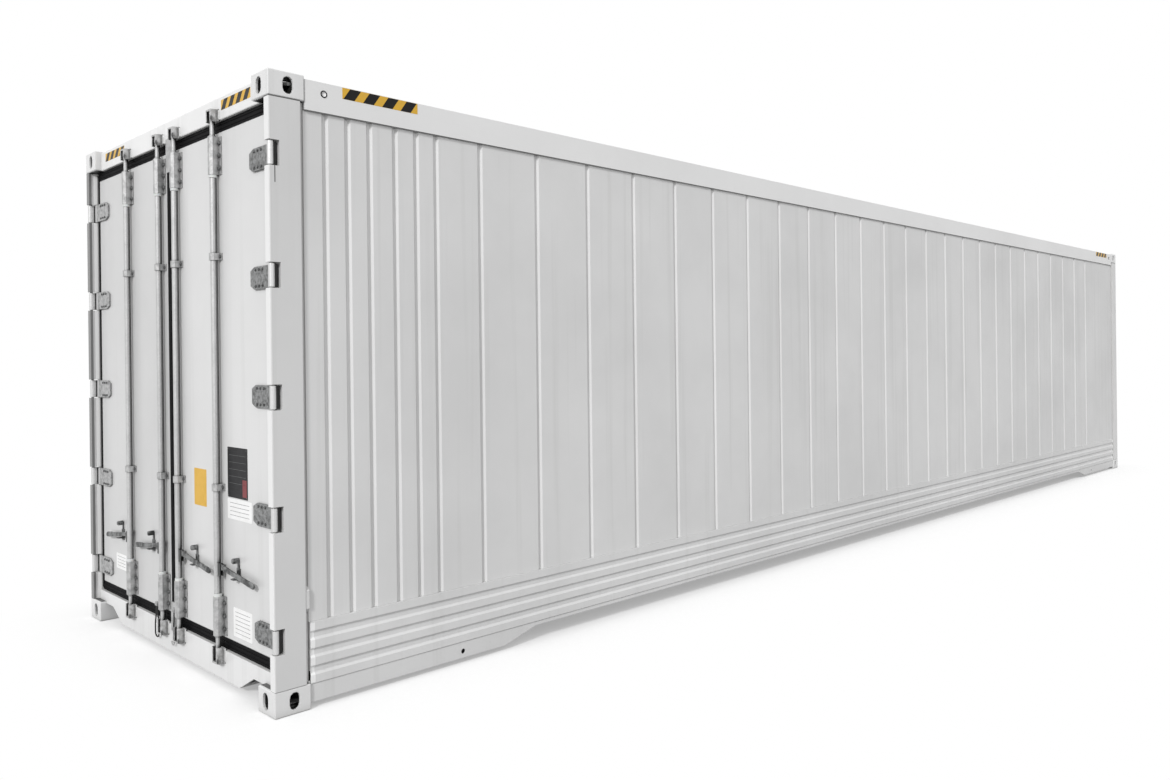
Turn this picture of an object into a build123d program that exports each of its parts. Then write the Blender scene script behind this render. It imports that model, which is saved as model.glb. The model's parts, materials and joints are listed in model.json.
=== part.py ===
from build123d import *
from math import cos, pi, radians, sin, tan
import os

# Refrigerated shipping container, forty feet long and high-cube.
# Millimetres. Origin at the centre of the ground plane, +Z up, length along Y.
# The door end faces -Y. Depths on the door end are measured inwards from the castings' end faces.

# Overall size
LENGTH = 12192
WIDTH = 2438
HEIGHT = 2896

# Corner castings
CASTING_LONG = 178
CASTING_WIDE = 162
CASTING_TALL = 118
CASTING_PLATE = 28.5
CASTING_WALL = 18
CASTING_INNER_WALL = 14
CASTING_CHAMFER = 4
APERTURE_FROM_END = 103.5
APERTURE_FROM_SIDE = 89.5
APERTURE_LONG = 124
APERTURE_WIDE = 63.5
SIDE_APERTURE_TALL = 79.5
SIDE_APERTURE_WIDE = 51
SIDE_APERTURE_FROM_END = 97
SIDE_APERTURE_HEIGHT = 60
EASED_FLATS = 5

# Cargo hold
WALL = 72
UNIT_SPACE = 456
FLOOR_TOP = 230
LINING = 5

# Doorway frame
POST_SIDE_LENGTH = 156
POST_FACE_WIDTH = 43
POST_FACE_DEPTH = 2
POST_BEVEL_START = 28
POST_BEVEL_END = 46
POST_RECESS_WIDTH = 54
STOP_DEPTH = 142
GROOVE_WIDTH = 20
GROOVE_INSET = 22
GUSSET_BOTTOM = 440
GUSSET_TALL = 125
GUSSET_INSET = 2
FRAME_FACE_DEPTH = 37
HEADER_DROP = 120
HEADER_TOP_DROP = 8
SILL_TOP = 176
SILL_BOTTOM = 27
SILL_PLATE = 12
SILL_FLAT_END = 120
SILL_SLOPE = 153
SILL_END_BOTTOM = 107

# Door leaves
LEAF_FACE_DEPTH = 48
LEAF_THICKNESS = 86
LEAF_HALF_GAP = 28
LEAF_SIDE_GAP = 21
LEAF_BOTTOM_GAP = 56
LEAF_TOP_GAP = 52
LEAF_EDGE = 6
DOOR_LINING = 4
DOOR_LINING_INSET = 30
GASKET_FACE_INSET = 6
GASKET_DEPTH = 62
GASKET_GAP = 1
GASKET_CENTRE = {"right": 38, "left": 6}
GASKET_CORNER = 22
GASKET_SEAT_GAP = 0.3

# Overlap plates over the gap between the leaves
OVERLAP_EDGES = (-13, 60)
OVERLAP_FRONT = 27
OVERLAP_THICK = 5
OVERLAP_SPACER = 22
OVERLAP_SPACER_DROP = 14
OVERLAP_PAST_FRAME = (26, 14)
OVERLAP_ON_LEAF = (73, 114)

# Hinges
HINGE_COUNT = 5
HINGE_FROM_BOTTOM = 106
HINGE_FROM_TOP = 200
PIN_INSET = 18
PIN_DEPTH = 17
PIN_RADIUS = 8
PIN_CLEARANCE = 0.3
PIN_ROOT = 2
KNUCKLE_RADIUS = 14
BLADE_TALL = 105
BLADE_THICK = 10
BLADE_LONG = 249
BLADE_NOSE_TALL = 70
BLADE_NOSE_LONG = 40
NOTCH_GAP = 5
NOTCH_DEPTH = 53

# Locking bars, their brackets, cams and keepers
INNER_BAR_FROM_EDGE = 84
BAR_RADIUS = 17
BAR_DEPTH = 21.5
BAR_PAST_FRAME = (52, 42)
BAR_GAP = 0.8
NECK_RADIUS = 12.5
TUBE_PAST_BRACKET = 6
BRACKET_SIDES = 8
BRACKET_WALL = 3.2
BRACKET_FLANGE = 4
BRACKET_PAD = 0.3
LONG_BRACKET_REACH = 46
LOWER_BRACKET = (14, 206)
UPPER_BRACKET = (25, 212)
SHORT_BRACKET_REACH = 40
SHORT_BRACKET_TALL = 35
SHORT_BRACKET_FROM_BOTTOM = 725
SHORT_BRACKET_FROM_TOP = 597
CAM_RADIUS = 24
CAM_BACK_RADIUS = 13.5
CAM_NOSE_HALF_WIDTH = 12.5
CAM_TALL = 26
CAM_GAP = 1.5
KEEPER_WALL = 9
KEEPER_HALF_MOUTH = 17
KEEPER_BRIDGE = 9
KEEPER_BRIDGE_GAP = 3
KEEPER_PAST_EDGE = (15, 6)
KEEPER_FOOT = 10
KEEPER_FOOT_THICK = 6
KEEPER_FRONT_DEPTH = 0.5

# Handles
HANDLE_FROM_BOTTOM = 355
HANDLE_DROP = 41
HANDLE_TIP_GAP = 86.5
HANDLE_SIDE_GAP = 159.5
HANDLE_THICK = 8
HANDLE_TALL = 22
HANDLE_ROOT_TALL = 34
HANDLE_ROOT_EASE = 6
HANDLE_PIVOT = 30
HANDLE_PIN_RADIUS = 5
HUB_BELOW = 42
HUB_ABOVE = 19
HUB_CHEEK = 4
HUB_GAP = 1
HUB_REACH = 46
RETAINER_ALONG = 0.466
RETAINER_WIDE = 34
RETAINER_BELOW = 51
RETAINER_ABOVE = 12
RETAINER_PLATE = 5
RETAINER_SHELF = 5
RETAINER_GAP = 5
RETAINER_FRONT_DEPTH = 12
CATCH_WIDE = 16
CATCH_ABOVE = 62
CATCH_BEND = 10
CATCH_TIP = 14

# Tie ropes that hold the open doors back: routes as (across, up), from the eye down
ROPE_RADIUS = 3.75
ROPE_SIDES = 4
ROPE_DEPTH = 20
ROPE_ARC_SHARE = 0.45
LOOP_DOWN = [(-199, 250), (-199, 215), (-214, 172), (-219, 128), (-217, 82)]
LOOP_UP = [(-169, 80), (-165, 128), (-170, 172), (-185, 215), (-185, 250)]
LOOP_ROUTE = LOOP_DOWN + LOOP_UP
LINE_ROUTE = [(46, 258), (46, 220), (36, 182), (38, 146), (38, 112)]
HOOK_ROUTE = [(38, 112), (38, 90), (32, 80), (20, 78), (12, 85), (10, 98)]
HOOK_RADIUS = 3
FERRULE_RADIUS = 6
FERRULE_TALL = 14
EYE_WIDE = 28
EYE_TALL = 22
EYE_PAST_ROPE = 3

# Side walls and rails
PANEL_FACE_INSET = 15
PANEL_BOTTOM = 395
PANEL_TOP_DROP = 156
SWAGE_WIDTH = 35
SWAGE_FLOOR = 11
SWAGE_DEPTH = 12
SWAGE_PITCH = 407
SWAGE_FROM_END = 1206
NARROW_SWAGES = [288, 406, 526, 671, 796, 918]
RAIL_FACE_INSET = 5
RAIL_END_GAP = 3
TOP_RAIL_DROP = 14
RAIL_SWAGE_DROP = 61.5
RAIL_SWAGE_PITCH = 80
RAIL_SWAGE_COUNT = 3
RAIL_SWAGE_TALL = 44
RAIL_SWAGE_FLOOR = 22
RAIL_SWAGE_DEPTH = 10
RAIL_BOTTOM = 90
RAIL_STEP = 115
RAIL_STEP_INSET = 5
RAIL_WEB = 6
RAIL_FLANGE = 60
RAIL_CLOSED_BOTTOM = 170
DEEP_END_BOTTOM = 27
DEEP_END_LONG = 1339
DEEP_END_SLOPE = 225
DEEP_END_PLATE = 8
DRAIN_HOLE_FROM_END = 1054
DRAIN_HOLE_HEIGHT = 62
DRAIN_HOLE_RADIUS = 13

# Roof
ROOF_DROP = 12
ROOF_SWAGE_DEPTH = 5

# Floor
T_BAR_TALL = 63.5
T_BAR_PITCH = 62
T_BAR_HEAD = 36
T_BAR_HEAD_THICK = 5
T_BAR_STEM = 6
T_BAR_BASE = 5
SLAB_BOTTOM = 106
CROSS_MEMBER_TALL = 38
CROSS_MEMBER_WIDE = 62
CROSS_MEMBER_WALL = 5
CROSS_MEMBER_PITCH = 440
CROSS_MEMBER_END_SPACE = 596

# Machinery end
UNIT_FACE_DEPTH = 42
UNIT_SIDE_GAP = 3
UNIT_BOTTOM = 176
COVER_THICK = 4
COVER_MARGIN = 70
COVER_HALF_GAP = 12
COVER_BOTTOMS = [190, 760, 1540]
COVER_ROW_GAP = 40
COVER_TOP_DROP = 76
COVER_CORNER = 14

# Seated faces lie this far apart
SEAT = 0.3

# Small rods and bores are drawn with this many flats
ROUND_SIDES = 12

door_end = -LENGTH / 2
front_end = LENGTH / 2
side = WIDTH / 2
casting_inner_x = side - CASTING_WIDE
casting_inner_y = front_end - CASTING_LONG
hold_side = side - WALL
ceiling = HEIGHT - CASTING_TALL
hold_rear = door_end + STOP_DEPTH
hold_front = front_end - UNIT_SPACE
header_bottom = HEIGHT - HEADER_DROP
header_top = HEIGHT - HEADER_TOP_DROP
post_recess = side - POST_RECESS_WIDTH
leaf_side = post_recess - LEAF_SIDE_GAP
leaf_bottom = SILL_TOP + LEAF_BOTTOM_GAP
leaf_top = header_bottom - LEAF_TOP_GAP
leaf_face_y = door_end + LEAF_FACE_DEPTH
leaf_back_y = leaf_face_y + LEAF_THICKNESS
frame_face_y = door_end + FRAME_FACE_DEPTH
first_hinge = leaf_bottom + HINGE_FROM_BOTTOM
hinge_step = (leaf_top - HINGE_FROM_TOP - first_hinge) / (HINGE_COUNT - 1)
hinge_heights = [first_hinge + hinge_step * i for i in range(HINGE_COUNT)]
pin_x = side - PIN_INSET
pin_y = door_end + PIN_DEPTH
bar_y = door_end + BAR_DEPTH
inner_bar = LEAF_HALF_GAP + INNER_BAR_FROM_EDGE
handle_length = (leaf_side - inner_bar - HANDLE_TIP_GAP - HANDLE_SIDE_GAP) / 2
bar_positions = [inner_bar, inner_bar + handle_length + HANDLE_TIP_GAP]
bar_bottom = SILL_TOP - BAR_PAST_FRAME[0]
bar_top = header_bottom + BAR_PAST_FRAME[1]
bracket_back = leaf_face_y - BRACKET_PAD
lower_bracket = (leaf_bottom + LOWER_BRACKET[0], leaf_bottom + LOWER_BRACKET[1])
upper_bracket = (leaf_top - UPPER_BRACKET[1], leaf_top - UPPER_BRACKET[0])
handle_height = leaf_bottom + HANDLE_FROM_BOTTOM
rope_y = door_end + ROPE_DEPTH
panel_rear = door_end + POST_SIDE_LENGTH + GROOVE_WIDTH
panel_front = -panel_rear
panel_top = HEIGHT - PANEL_TOP_DROP
panel_face = side - PANEL_FACE_INSET
rail_face = side - RAIL_FACE_INSET
rail_ys = (-casting_inner_y + RAIL_END_GAP, casting_inner_y - RAIL_END_GAP)
slab_top = FLOOR_TOP - T_BAR_TALL
swage_count = int((LENGTH - 2 * SWAGE_FROM_END) // SWAGE_PITCH) + 1
wide_swages = [door_end + SWAGE_FROM_END + SWAGE_PITCH * i for i in range(swage_count)]

os.makedirs("parts", exist_ok=True)


def write(name, solids):
    # Each node is one file holding one solid or several that do not touch.
    shapes = solids if isinstance(solids, list) else [solids]
    parts = [part for shape in shapes for part in shape.solids()]
    export_step(Compound(children=parts), f"parts/{name}.step")


def block(xs, ys, zs):
    # A box between two limits on each axis.
    centre = Pos(sum(xs) / 2, sum(ys) / 2, sum(zs) / 2)
    return centre * Box(abs(xs[1] - xs[0]), abs(ys[1] - ys[0]), abs(zs[1] - zs[0]))


def upright(points, bottom, top):
    # An outline in plan, raised from bottom to top.
    return Pos(0, 0, bottom) * extrude(make_face(Polyline(*points, close=True)), amount=top - bottom)


def lengthwise(points, rear, front):
    # An outline seen along the length, as (x, z), drawn from rear to front.
    face = Plane.XZ * make_face(Polyline(*points, close=True))
    return Pos(0, front, 0) * extrude(face, amount=front - rear, dir=(0, -1, 0))


def crosswise(points, left, right):
    # An outline seen from the side, as (y, z), drawn from left to right.
    face = Plane.YZ * make_face(Polyline(*points, close=True))
    return Pos(left, 0, 0) * extrude(face, amount=right - left, dir=(1, 0, 0))


def flip_side(shape):
    return mirror(shape, about=Plane.YZ)


def flip_end(shape):
    return mirror(shape, about=Plane.XZ)


def both_sides(shape):
    return [shape, flip_side(shape)]


def four_corners(shape):
    pair = both_sides(shape)
    return pair + [flip_end(part) for part in pair]


def swaged_edge(stations, width, floor, depth, face, start, end):
    # Points along a face from start to end, with a trough at each station.
    turn = -1 if start > end else 1
    points = [(start, face)]
    for at in sorted(stations, reverse=start > end):
        points += [
            (at - turn * width / 2, face),
            (at - turn * floor / 2, face - depth),
            (at + turn * floor / 2, face - depth),
            (at + turn * width / 2, face),
        ]
    return points + [(end, face)]


def rod(radius, length):
    # A small round drawn as narrow flats that lie inside its true radius.
    return Pos(0, 0, -length / 2) * extrude(RegularPolygon(radius, ROUND_SIDES), length)


def bore(radius, length):
    # A small hole drawn as narrow flats that lie outside its true radius, so that a rod in it can turn.
    return Pos(0, 0, -length / 2) * extrude(RegularPolygon(radius, ROUND_SIDES, major_radius=False), length)


def bent_rod(route, radius, sides):
    # A rod in one upright plane: straight runs joined by arcs, each as large as its two runs allow.
    points = [Vector(x, rope_y, z) for x, z in route]
    radii = []
    for before, at, after in zip(points, points[1:], points[2:]):
        turn = (at - before).get_angle(after - at)
        run = min((at - before).length, (after - at).length)
        radii.append(ROPE_ARC_SHARE * run / tan(radians(turn / 2)))
    path = FilletPolyline(*points, radius=radii)
    start = Plane(origin=points[0], x_dir=(0, 1, 0), z_dir=points[1] - points[0])
    section = start * RegularPolygon(radius, sides)
    bent = sweep(section, path=path)
    print("radii", [round(size) for size in radii], "length", round(path.length, 1))
    print("volume", round(bent.volume), "section times length", round(section.area * path.length))
    return bent


def eased_slot(tall, wide):
    # An upright aperture with its round ends drawn as short flats.
    radius = wide / 2
    upper = []
    for i in range(EASED_FLATS + 1):
        turn = pi * i / EASED_FLATS
        upper.append((radius * cos(turn), tall / 2 - radius + radius * sin(turn)))
    return upper + [(-x, -z) for x, z in upper]


def corner_casting():
    # The lower right casting at the door end: hollow, open below, at the side and at the end.
    xs = (casting_inner_x, side)
    ys = (door_end, door_end + CASTING_LONG)
    body = chamfer(block(xs, ys, (0, CASTING_TALL)).edges(), CASTING_CHAMFER)
    cavity = block(
        (xs[0] + CASTING_INNER_WALL, side - CASTING_WALL),
        (ys[0] + CASTING_WALL, ys[1] - CASTING_INNER_WALL),
        (CASTING_PLATE, CASTING_TALL - CASTING_WALL),
    )
    slot_x = side - APERTURE_FROM_SIDE
    below = Rot(0, 0, 90) * extrude(SlotOverall(APERTURE_LONG, APERTURE_WIDE), 2 * CASTING_PLATE, both=True)
    below = Pos(slot_x, door_end + APERTURE_FROM_END, 0) * below
    slot = eased_slot(SIDE_APERTURE_TALL, SIDE_APERTURE_WIDE)
    at_side = crosswise(slot, side - 2 * CASTING_WALL, side + CASTING_WALL)
    at_side = Pos(0, door_end + SIDE_APERTURE_FROM_END, SIDE_APERTURE_HEIGHT) * at_side
    at_end = lengthwise(slot, door_end - CASTING_WALL, door_end + 2 * CASTING_WALL)
    at_end = Pos(slot_x, 0, SIDE_APERTURE_HEIGHT) * at_end
    return body - cavity - below - at_side - at_end


def door_post():
    # Right rear post: a nosing beside the leaf, a bevel, the gasket recess and the door stop.
    face = side - POST_FACE_WIDTH
    groove = side - GROOVE_INSET
    inner = hold_side + LINING
    stop = door_end + STOP_DEPTH
    side_end = door_end + POST_SIDE_LENGTH
    points = [
        (face, door_end + POST_FACE_DEPTH),
        (side, door_end + POST_FACE_DEPTH),
        (side, side_end),
        (groove, side_end),
        (groove, panel_rear - SEAT),
        (inner, panel_rear - SEAT),
        (inner, stop + LINING),
        (hold_side, stop + LINING),
        (hold_side, stop),
        (post_recess, stop),
        (post_recess, door_end + POST_BEVEL_END),
        (face, door_end + POST_BEVEL_START),
    ]
    post = upright(points, CASTING_TALL, HEIGHT - CASTING_TALL)
    gusset = [
        (groove, GUSSET_BOTTOM),
        (side - GUSSET_INSET, GUSSET_BOTTOM + GROOVE_INSET),
        (side - GUSSET_INSET, GUSSET_BOTTOM + GUSSET_TALL - GROOVE_INSET),
        (groove, GUSSET_BOTTOM + GUSSET_TALL),
    ]
    post += lengthwise(gusset, side_end, panel_rear - SEAT)
    tall = BLADE_TALL + 2 * NOTCH_GAP
    notch_xs = (post_recess - PIN_ROOT, side + PIN_ROOT)
    notch_ys = (door_end - PIN_ROOT, door_end + NOTCH_DEPTH)
    for height in hinge_heights:
        post -= block(notch_xs, notch_ys, (height - tall / 2, height + tall / 2))
        post += Pos(pin_x, pin_y, height) * rod(PIN_RADIUS, tall + 2 * PIN_ROOT)
    return post


def hinge_blade(height):
    # A knuckle round the pin, a neck from its inner half, and a plate with a narrowed nose.
    front = bracket_back - BLADE_THICK
    bottom = height - BLADE_TALL / 2
    top = height + BLADE_TALL / 2
    inner_edge = pin_x - BLADE_LONG
    neck_xs = (pin_x - KNUCKLE_RADIUS, pin_x)
    nose_root = inner_edge + BLADE_NOSE_LONG
    nose_drop = (BLADE_TALL - BLADE_NOSE_TALL) / 2
    outline = [
        (neck_xs[1], bottom),
        (neck_xs[1], top),
        (nose_root, top),
        (inner_edge, top - nose_drop),
        (inner_edge, bottom + nose_drop),
        (nose_root, bottom),
    ]
    at_pin = Pos(pin_x, pin_y, height)
    knuckle = at_pin * rod(KNUCKLE_RADIUS, BLADE_TALL)
    neck = block(neck_xs, (pin_y, bracket_back), (bottom, top))
    blade = knuckle + neck + lengthwise(outline, front, bracket_back)
    return blade - at_pin * bore(PIN_RADIUS + PIN_CLEARANCE, 2 * BLADE_TALL)


def door_leaf():
    # The right leaf: an insulated slab with eased front edges.
    slab = block((LEAF_HALF_GAP, leaf_side), (leaf_face_y, leaf_back_y), (leaf_bottom, leaf_top))
    return chamfer(slab.edges().group_by(Axis.Y)[0], LEAF_EDGE)


def door_lining():
    xs = (LEAF_HALF_GAP + DOOR_LINING_INSET, leaf_side - DOOR_LINING_INSET)
    zs = (leaf_bottom + DOOR_LINING_INSET, leaf_top - DOOR_LINING_INSET)
    return block(xs, (leaf_back_y, leaf_back_y + DOOR_LINING), zs)


def door_gasket(centre_reach):
    # A ring of sealing profile round the leaf, which reaches past its inner edge by centre_reach.
    front = leaf_face_y + GASKET_FACE_INSET
    back = front + GASKET_DEPTH
    xs = (LEAF_HALF_GAP - centre_reach, post_recess - GASKET_GAP)
    ring = block(xs, (front, back), (SILL_TOP + GASKET_GAP, header_bottom - GASKET_GAP))
    outer_edges = ring.edges().filter_by(Axis.Y).group_by(Axis.X)[-1]
    ring = fillet(outer_edges, GASKET_CORNER)
    hole = block(
        (LEAF_HALF_GAP - GASKET_SEAT_GAP, leaf_side + GASKET_SEAT_GAP),
        (front - GASKET_GAP, back + GASKET_GAP),
        (leaf_bottom - GASKET_SEAT_GAP, leaf_top + GASKET_SEAT_GAP),
    )
    return ring - hole


def overlap_plate(bottom, top, spacer_zs):
    # A plate on the right leaf that laps the gap between the leaves, held off by a spacer.
    front = door_end + OVERLAP_FRONT
    plate = block(OVERLAP_EDGES, (front, front + OVERLAP_THICK), (bottom, top))
    spacer_xs = (OVERLAP_EDGES[1] - OVERLAP_SPACER, OVERLAP_EDGES[1])
    return plate + block(spacer_xs, (front, bracket_back), spacer_zs)


def overlap_plates():
    lower_spacer = (leaf_bottom + OVERLAP_SPACER_DROP, leaf_bottom + OVERLAP_ON_LEAF[0])
    upper_spacer = (leaf_top - OVERLAP_ON_LEAF[1], leaf_top - OVERLAP_SPACER_DROP)
    return [
        overlap_plate(SILL_TOP - OVERLAP_PAST_FRAME[0], lower_spacer[1], lower_spacer),
        overlap_plate(upper_spacer[0], header_bottom + OVERLAP_PAST_FRAME[1], upper_spacer),
    ]


def bar_bracket(bar_x, limits, reach):
    # A pressed half sleeve over the bar, with a flange on each side.
    inner = BAR_RADIUS + BAR_GAP
    outer = inner + BRACKET_WALL
    flat = tan(pi / BRACKET_SIDES)
    front = bracket_back - BRACKET_FLANGE
    half = [
        (reach, bracket_back),
        (reach, front),
        (outer, front),
        (outer, bar_y - outer * flat),
        (outer * flat, bar_y - outer),
    ]
    half_room = [(inner * flat, bar_y - inner), (inner, bar_y - inner * flat), (inner, bracket_back)]
    outside = half + [(-x, y) for x, y in reversed(half)]
    inside = [(-x, y) for x, y in reversed(half_room)] + half_room
    return Pos(bar_x, 0, 0) * upright(outside + inside, *limits)


def rope_eye(across, up, front, back):
    # The block that a tie rope hangs from, seated at its back.
    xs = (across - EYE_WIDE / 2, across + EYE_WIDE / 2)
    eye = block(xs, (front, back), (up, up + EYE_TALL))
    return chamfer(eye.edges().filter_by(Axis.X).group_by(Axis.Y)[0], EYE_PAST_ROPE)


def bar_brackets():
    low = leaf_bottom + SHORT_BRACKET_FROM_BOTTOM
    high = leaf_top - SHORT_BRACKET_FROM_TOP
    short_brackets = [(low, low + SHORT_BRACKET_TALL), (high - SHORT_BRACKET_TALL, high)]
    parts = []
    for bar_x in bar_positions:
        parts += [bar_bracket(bar_x, limits, LONG_BRACKET_REACH) for limits in (lower_bracket, upper_bracket)]
        parts += [bar_bracket(bar_x, limits, SHORT_BRACKET_REACH) for limits in short_brackets]
    return parts


def cam(bar_x, bottom):
    # A hub with one nose that points to the hinge side when the bar is locked.
    nose = rod(CAM_RADIUS, CAM_TALL)
    nose &= Pos(CAM_RADIUS / 2, 0, 0) * Box(CAM_RADIUS, 2 * CAM_NOSE_HALF_WIDTH, CAM_TALL)
    return Pos(bar_x, bar_y, bottom + CAM_TALL / 2) * (nose + rod(CAM_BACK_RADIUS, CAM_TALL))


def keeper(bar_x, zs, bridge_zs):
    # A C-shaped jaw round the cam: its mouth opens outwards and is narrower than the locked cam.
    inner = CAM_RADIUS + CAM_GAP
    outer = inner + KEEPER_WALL
    foot = outer + KEEPER_FOOT
    back = frame_face_y - SEAT
    tall = zs[1] - zs[0]
    centre = Pos(bar_x, bar_y, sum(zs) / 2)
    jaw = centre * rod(outer, tall)
    jaw += block((bar_x - outer, bar_x + outer), (bar_y, back), zs)
    jaw += block((bar_x - foot, bar_x + foot), (back - KEEPER_FOOT_THICK, back), zs)
    room = centre * bore(inner, tall)
    room += block((bar_x - inner, bar_x + inner), (bar_y, back), zs)
    room += block((bar_x - KEEPER_HALF_MOUTH, bar_x + KEEPER_HALF_MOUTH), (door_end - outer, bar_y), zs)
    room -= block((bar_x - foot, bar_x + foot), (door_end - outer, back), bridge_zs)
    return (jaw - room) & block((bar_x - foot, bar_x + foot), (door_end + KEEPER_FRONT_DEPTH, back), zs)


def lock_bar(bar_x):
    # A tube in its brackets, slimmer necks with a cam at each end, and a fork with the handle's pin.
    ends = (lower_bracket[0] - TUBE_PAST_BRACKET, upper_bracket[1] + TUBE_PAST_BRACKET)
    at = Pos(bar_x, bar_y, 0)
    bar = at * Pos(0, 0, sum(ends) / 2) * rod(BAR_RADIUS, ends[1] - ends[0])
    bar += at * Pos(0, 0, (bar_bottom + bar_top) / 2) * rod(NECK_RADIUS, bar_top - bar_bottom)
    bar += cam(bar_x, bar_bottom)
    bar += cam(bar_x, bar_top - CAM_TALL)
    slot = HANDLE_THICK / 2 + HUB_GAP
    half = slot + HUB_CHEEK
    zs = (handle_height - HUB_BELOW, handle_height + HUB_ABOVE)
    fork = block((bar_x, bar_x + HUB_REACH), (bar_y - half, bar_y + half), zs)
    fork -= block((bar_x + BAR_RADIUS + HUB_GAP, bar_x + 2 * HUB_REACH), (bar_y - slot, bar_y + slot), zs)
    pin = Rot(90, 0, 0) * Cylinder(HANDLE_PIN_RADIUS, 2 * slot)
    fork += Pos(bar_x + HANDLE_PIVOT, bar_y, handle_height) * pin
    return bar + fork


def handle(bar_x):
    # A flat forged lever bored for its pin: deep at its root, slimmer and slightly dropped to its tip.
    pivot_x = bar_x + HANDLE_PIVOT
    tip_x = bar_x + handle_length
    tip_z = handle_height - HANDLE_DROP
    root = bar_x + BAR_RADIUS + 3 * HUB_GAP
    half_root = HANDLE_ROOT_TALL / 2
    half = HANDLE_TALL / 2
    shoulder = bar_x + HUB_REACH + half_root
    slope = HANDLE_DROP / (tip_x - shoulder)
    outline = [
        (root, handle_height - half_root + HANDLE_ROOT_EASE),
        (root, handle_height + HANDLE_ROOT_EASE),
        (pivot_x, handle_height + half_root),
        (shoulder, handle_height + half),
        (tip_x - half, tip_z + half + slope * half),
        (tip_x, tip_z + half / 3),
        (tip_x, tip_z - half / 3),
        (tip_x - half, tip_z - half),
        (shoulder, handle_height - half),
        (pivot_x, handle_height - half_root),
    ]
    lever = lengthwise(outline, bar_y - HANDLE_THICK / 2, bar_y + HANDLE_THICK / 2)
    hole = Rot(90, 0, 0) * bore(HANDLE_PIN_RADIUS + PIN_CLEARANCE, 2 * HANDLE_THICK)
    return lever - Pos(pivot_x, bar_y, handle_height) * hole


def handle_retainer(bar_x):
    # A plate on the leaf with a shelf under the handle and a bent catch that reaches out above it.
    from_bar = RETAINER_ALONG * handle_length
    middle = bar_x + from_bar
    xs = (middle - RETAINER_WIDE / 2, middle + RETAINER_WIDE / 2)
    fall = HANDLE_DROP * RETAINER_ALONG
    shelf_top = handle_height - fall - HANDLE_TALL / 2 - RETAINER_GAP
    front = door_end + RETAINER_FRONT_DEPTH
    plate_front = bracket_back - RETAINER_PLATE
    plate_top = handle_height + RETAINER_ABOVE
    plate = block(xs, (plate_front, bracket_back), (handle_height - RETAINER_BELOW, plate_top))
    plate += block(xs, (front, bracket_back), (shelf_top - RETAINER_SHELF, shelf_top))
    top = handle_height + CATCH_ABOVE
    under = top - RETAINER_PLATE
    catch = [
        (bracket_back, plate_top - CATCH_BEND),
        (bracket_back, top - CATCH_BEND),
        (bracket_back - CATCH_BEND, top),
        (front + RETAINER_PLATE, top),
        (front, under),
        (front, top - CATCH_TIP),
        (front + RETAINER_PLATE, top - CATCH_TIP),
        (front + RETAINER_PLATE, under),
        (bracket_back - CATCH_BEND, under),
        (plate_front, top - CATCH_BEND),
        (plate_front, plate_top - CATCH_BEND),
    ]
    return plate + crosswise(catch, middle - CATCH_WIDE / 2, middle + CATCH_WIDE / 2)


def tie_hook():
    # A ferrule under the rope with a hook below it, bent at short straight stretches.
    top = HOOK_ROUTE[0][1]
    ferrule = Pos(HOOK_ROUTE[0][0], rope_y, top - FERRULE_TALL / 2) * rod(FERRULE_RADIUS, FERRULE_TALL)
    path = Polyline(*[Vector(x, rope_y, z) for x, z in HOOK_ROUTE])
    section = Plane(origin=path @ 0, z_dir=path % 0) * RegularPolygon(HOOK_RADIUS, ROPE_SIDES)
    return ferrule + sweep(section, path=path, transition=Transition.RIGHT)


def door_sill():
    # A channel with a broad front web, whose ends rise to the castings.
    end = casting_inner_x - SEAT
    slope_end = casting_inner_x - SILL_FLAT_END
    slope_start = slope_end - SILL_SLOPE
    half = [(end, SILL_TOP), (end, SILL_END_BOTTOM), (slope_end, SILL_END_BOTTOM), (slope_start, SILL_BOTTOM)]
    web = half + [(-x, z) for x, z in reversed(half)]
    sill = lengthwise(web, frame_face_y, frame_face_y + SILL_PLATE)
    ys = (frame_face_y, hold_rear)
    sill += block((-end, end), ys, (SILL_TOP - SILL_PLATE, SILL_TOP))
    sill += block((-slope_start, slope_start), ys, (SILL_BOTTOM, SILL_BOTTOM + SILL_PLATE))
    over = block((end, post_recess - SEAT), ys, (CASTING_TALL + SEAT, SILL_TOP))
    return sill + over + flip_side(over)


def door_header():
    end = casting_inner_x - SEAT
    beam = block((-end, end), (frame_face_y, -casting_inner_y), (header_bottom, header_top))
    return fillet(beam.edges().filter_by(Axis.X).group_by(Axis.Y)[0], LEAF_EDGE)


def side_panel():
    # Right wall: steel skin and insulation bonded together, with upright troughs in the skin.
    stations = [door_end + reach for reach in NARROW_SWAGES] + wide_swages
    edge = swaged_edge(stations, SWAGE_WIDTH, SWAGE_FLOOR, SWAGE_DEPTH, panel_face, panel_rear, panel_front)
    inner = hold_side + LINING
    points = [(x, y) for y, x in edge] + [(inner, panel_front), (inner, panel_rear)]
    return upright(points, PANEL_BOTTOM + SEAT, panel_top - SEAT)


def top_rail():
    return block((hold_side + LINING, rail_face), rail_ys, (panel_top, HEIGHT - TOP_RAIL_DROP))


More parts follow.
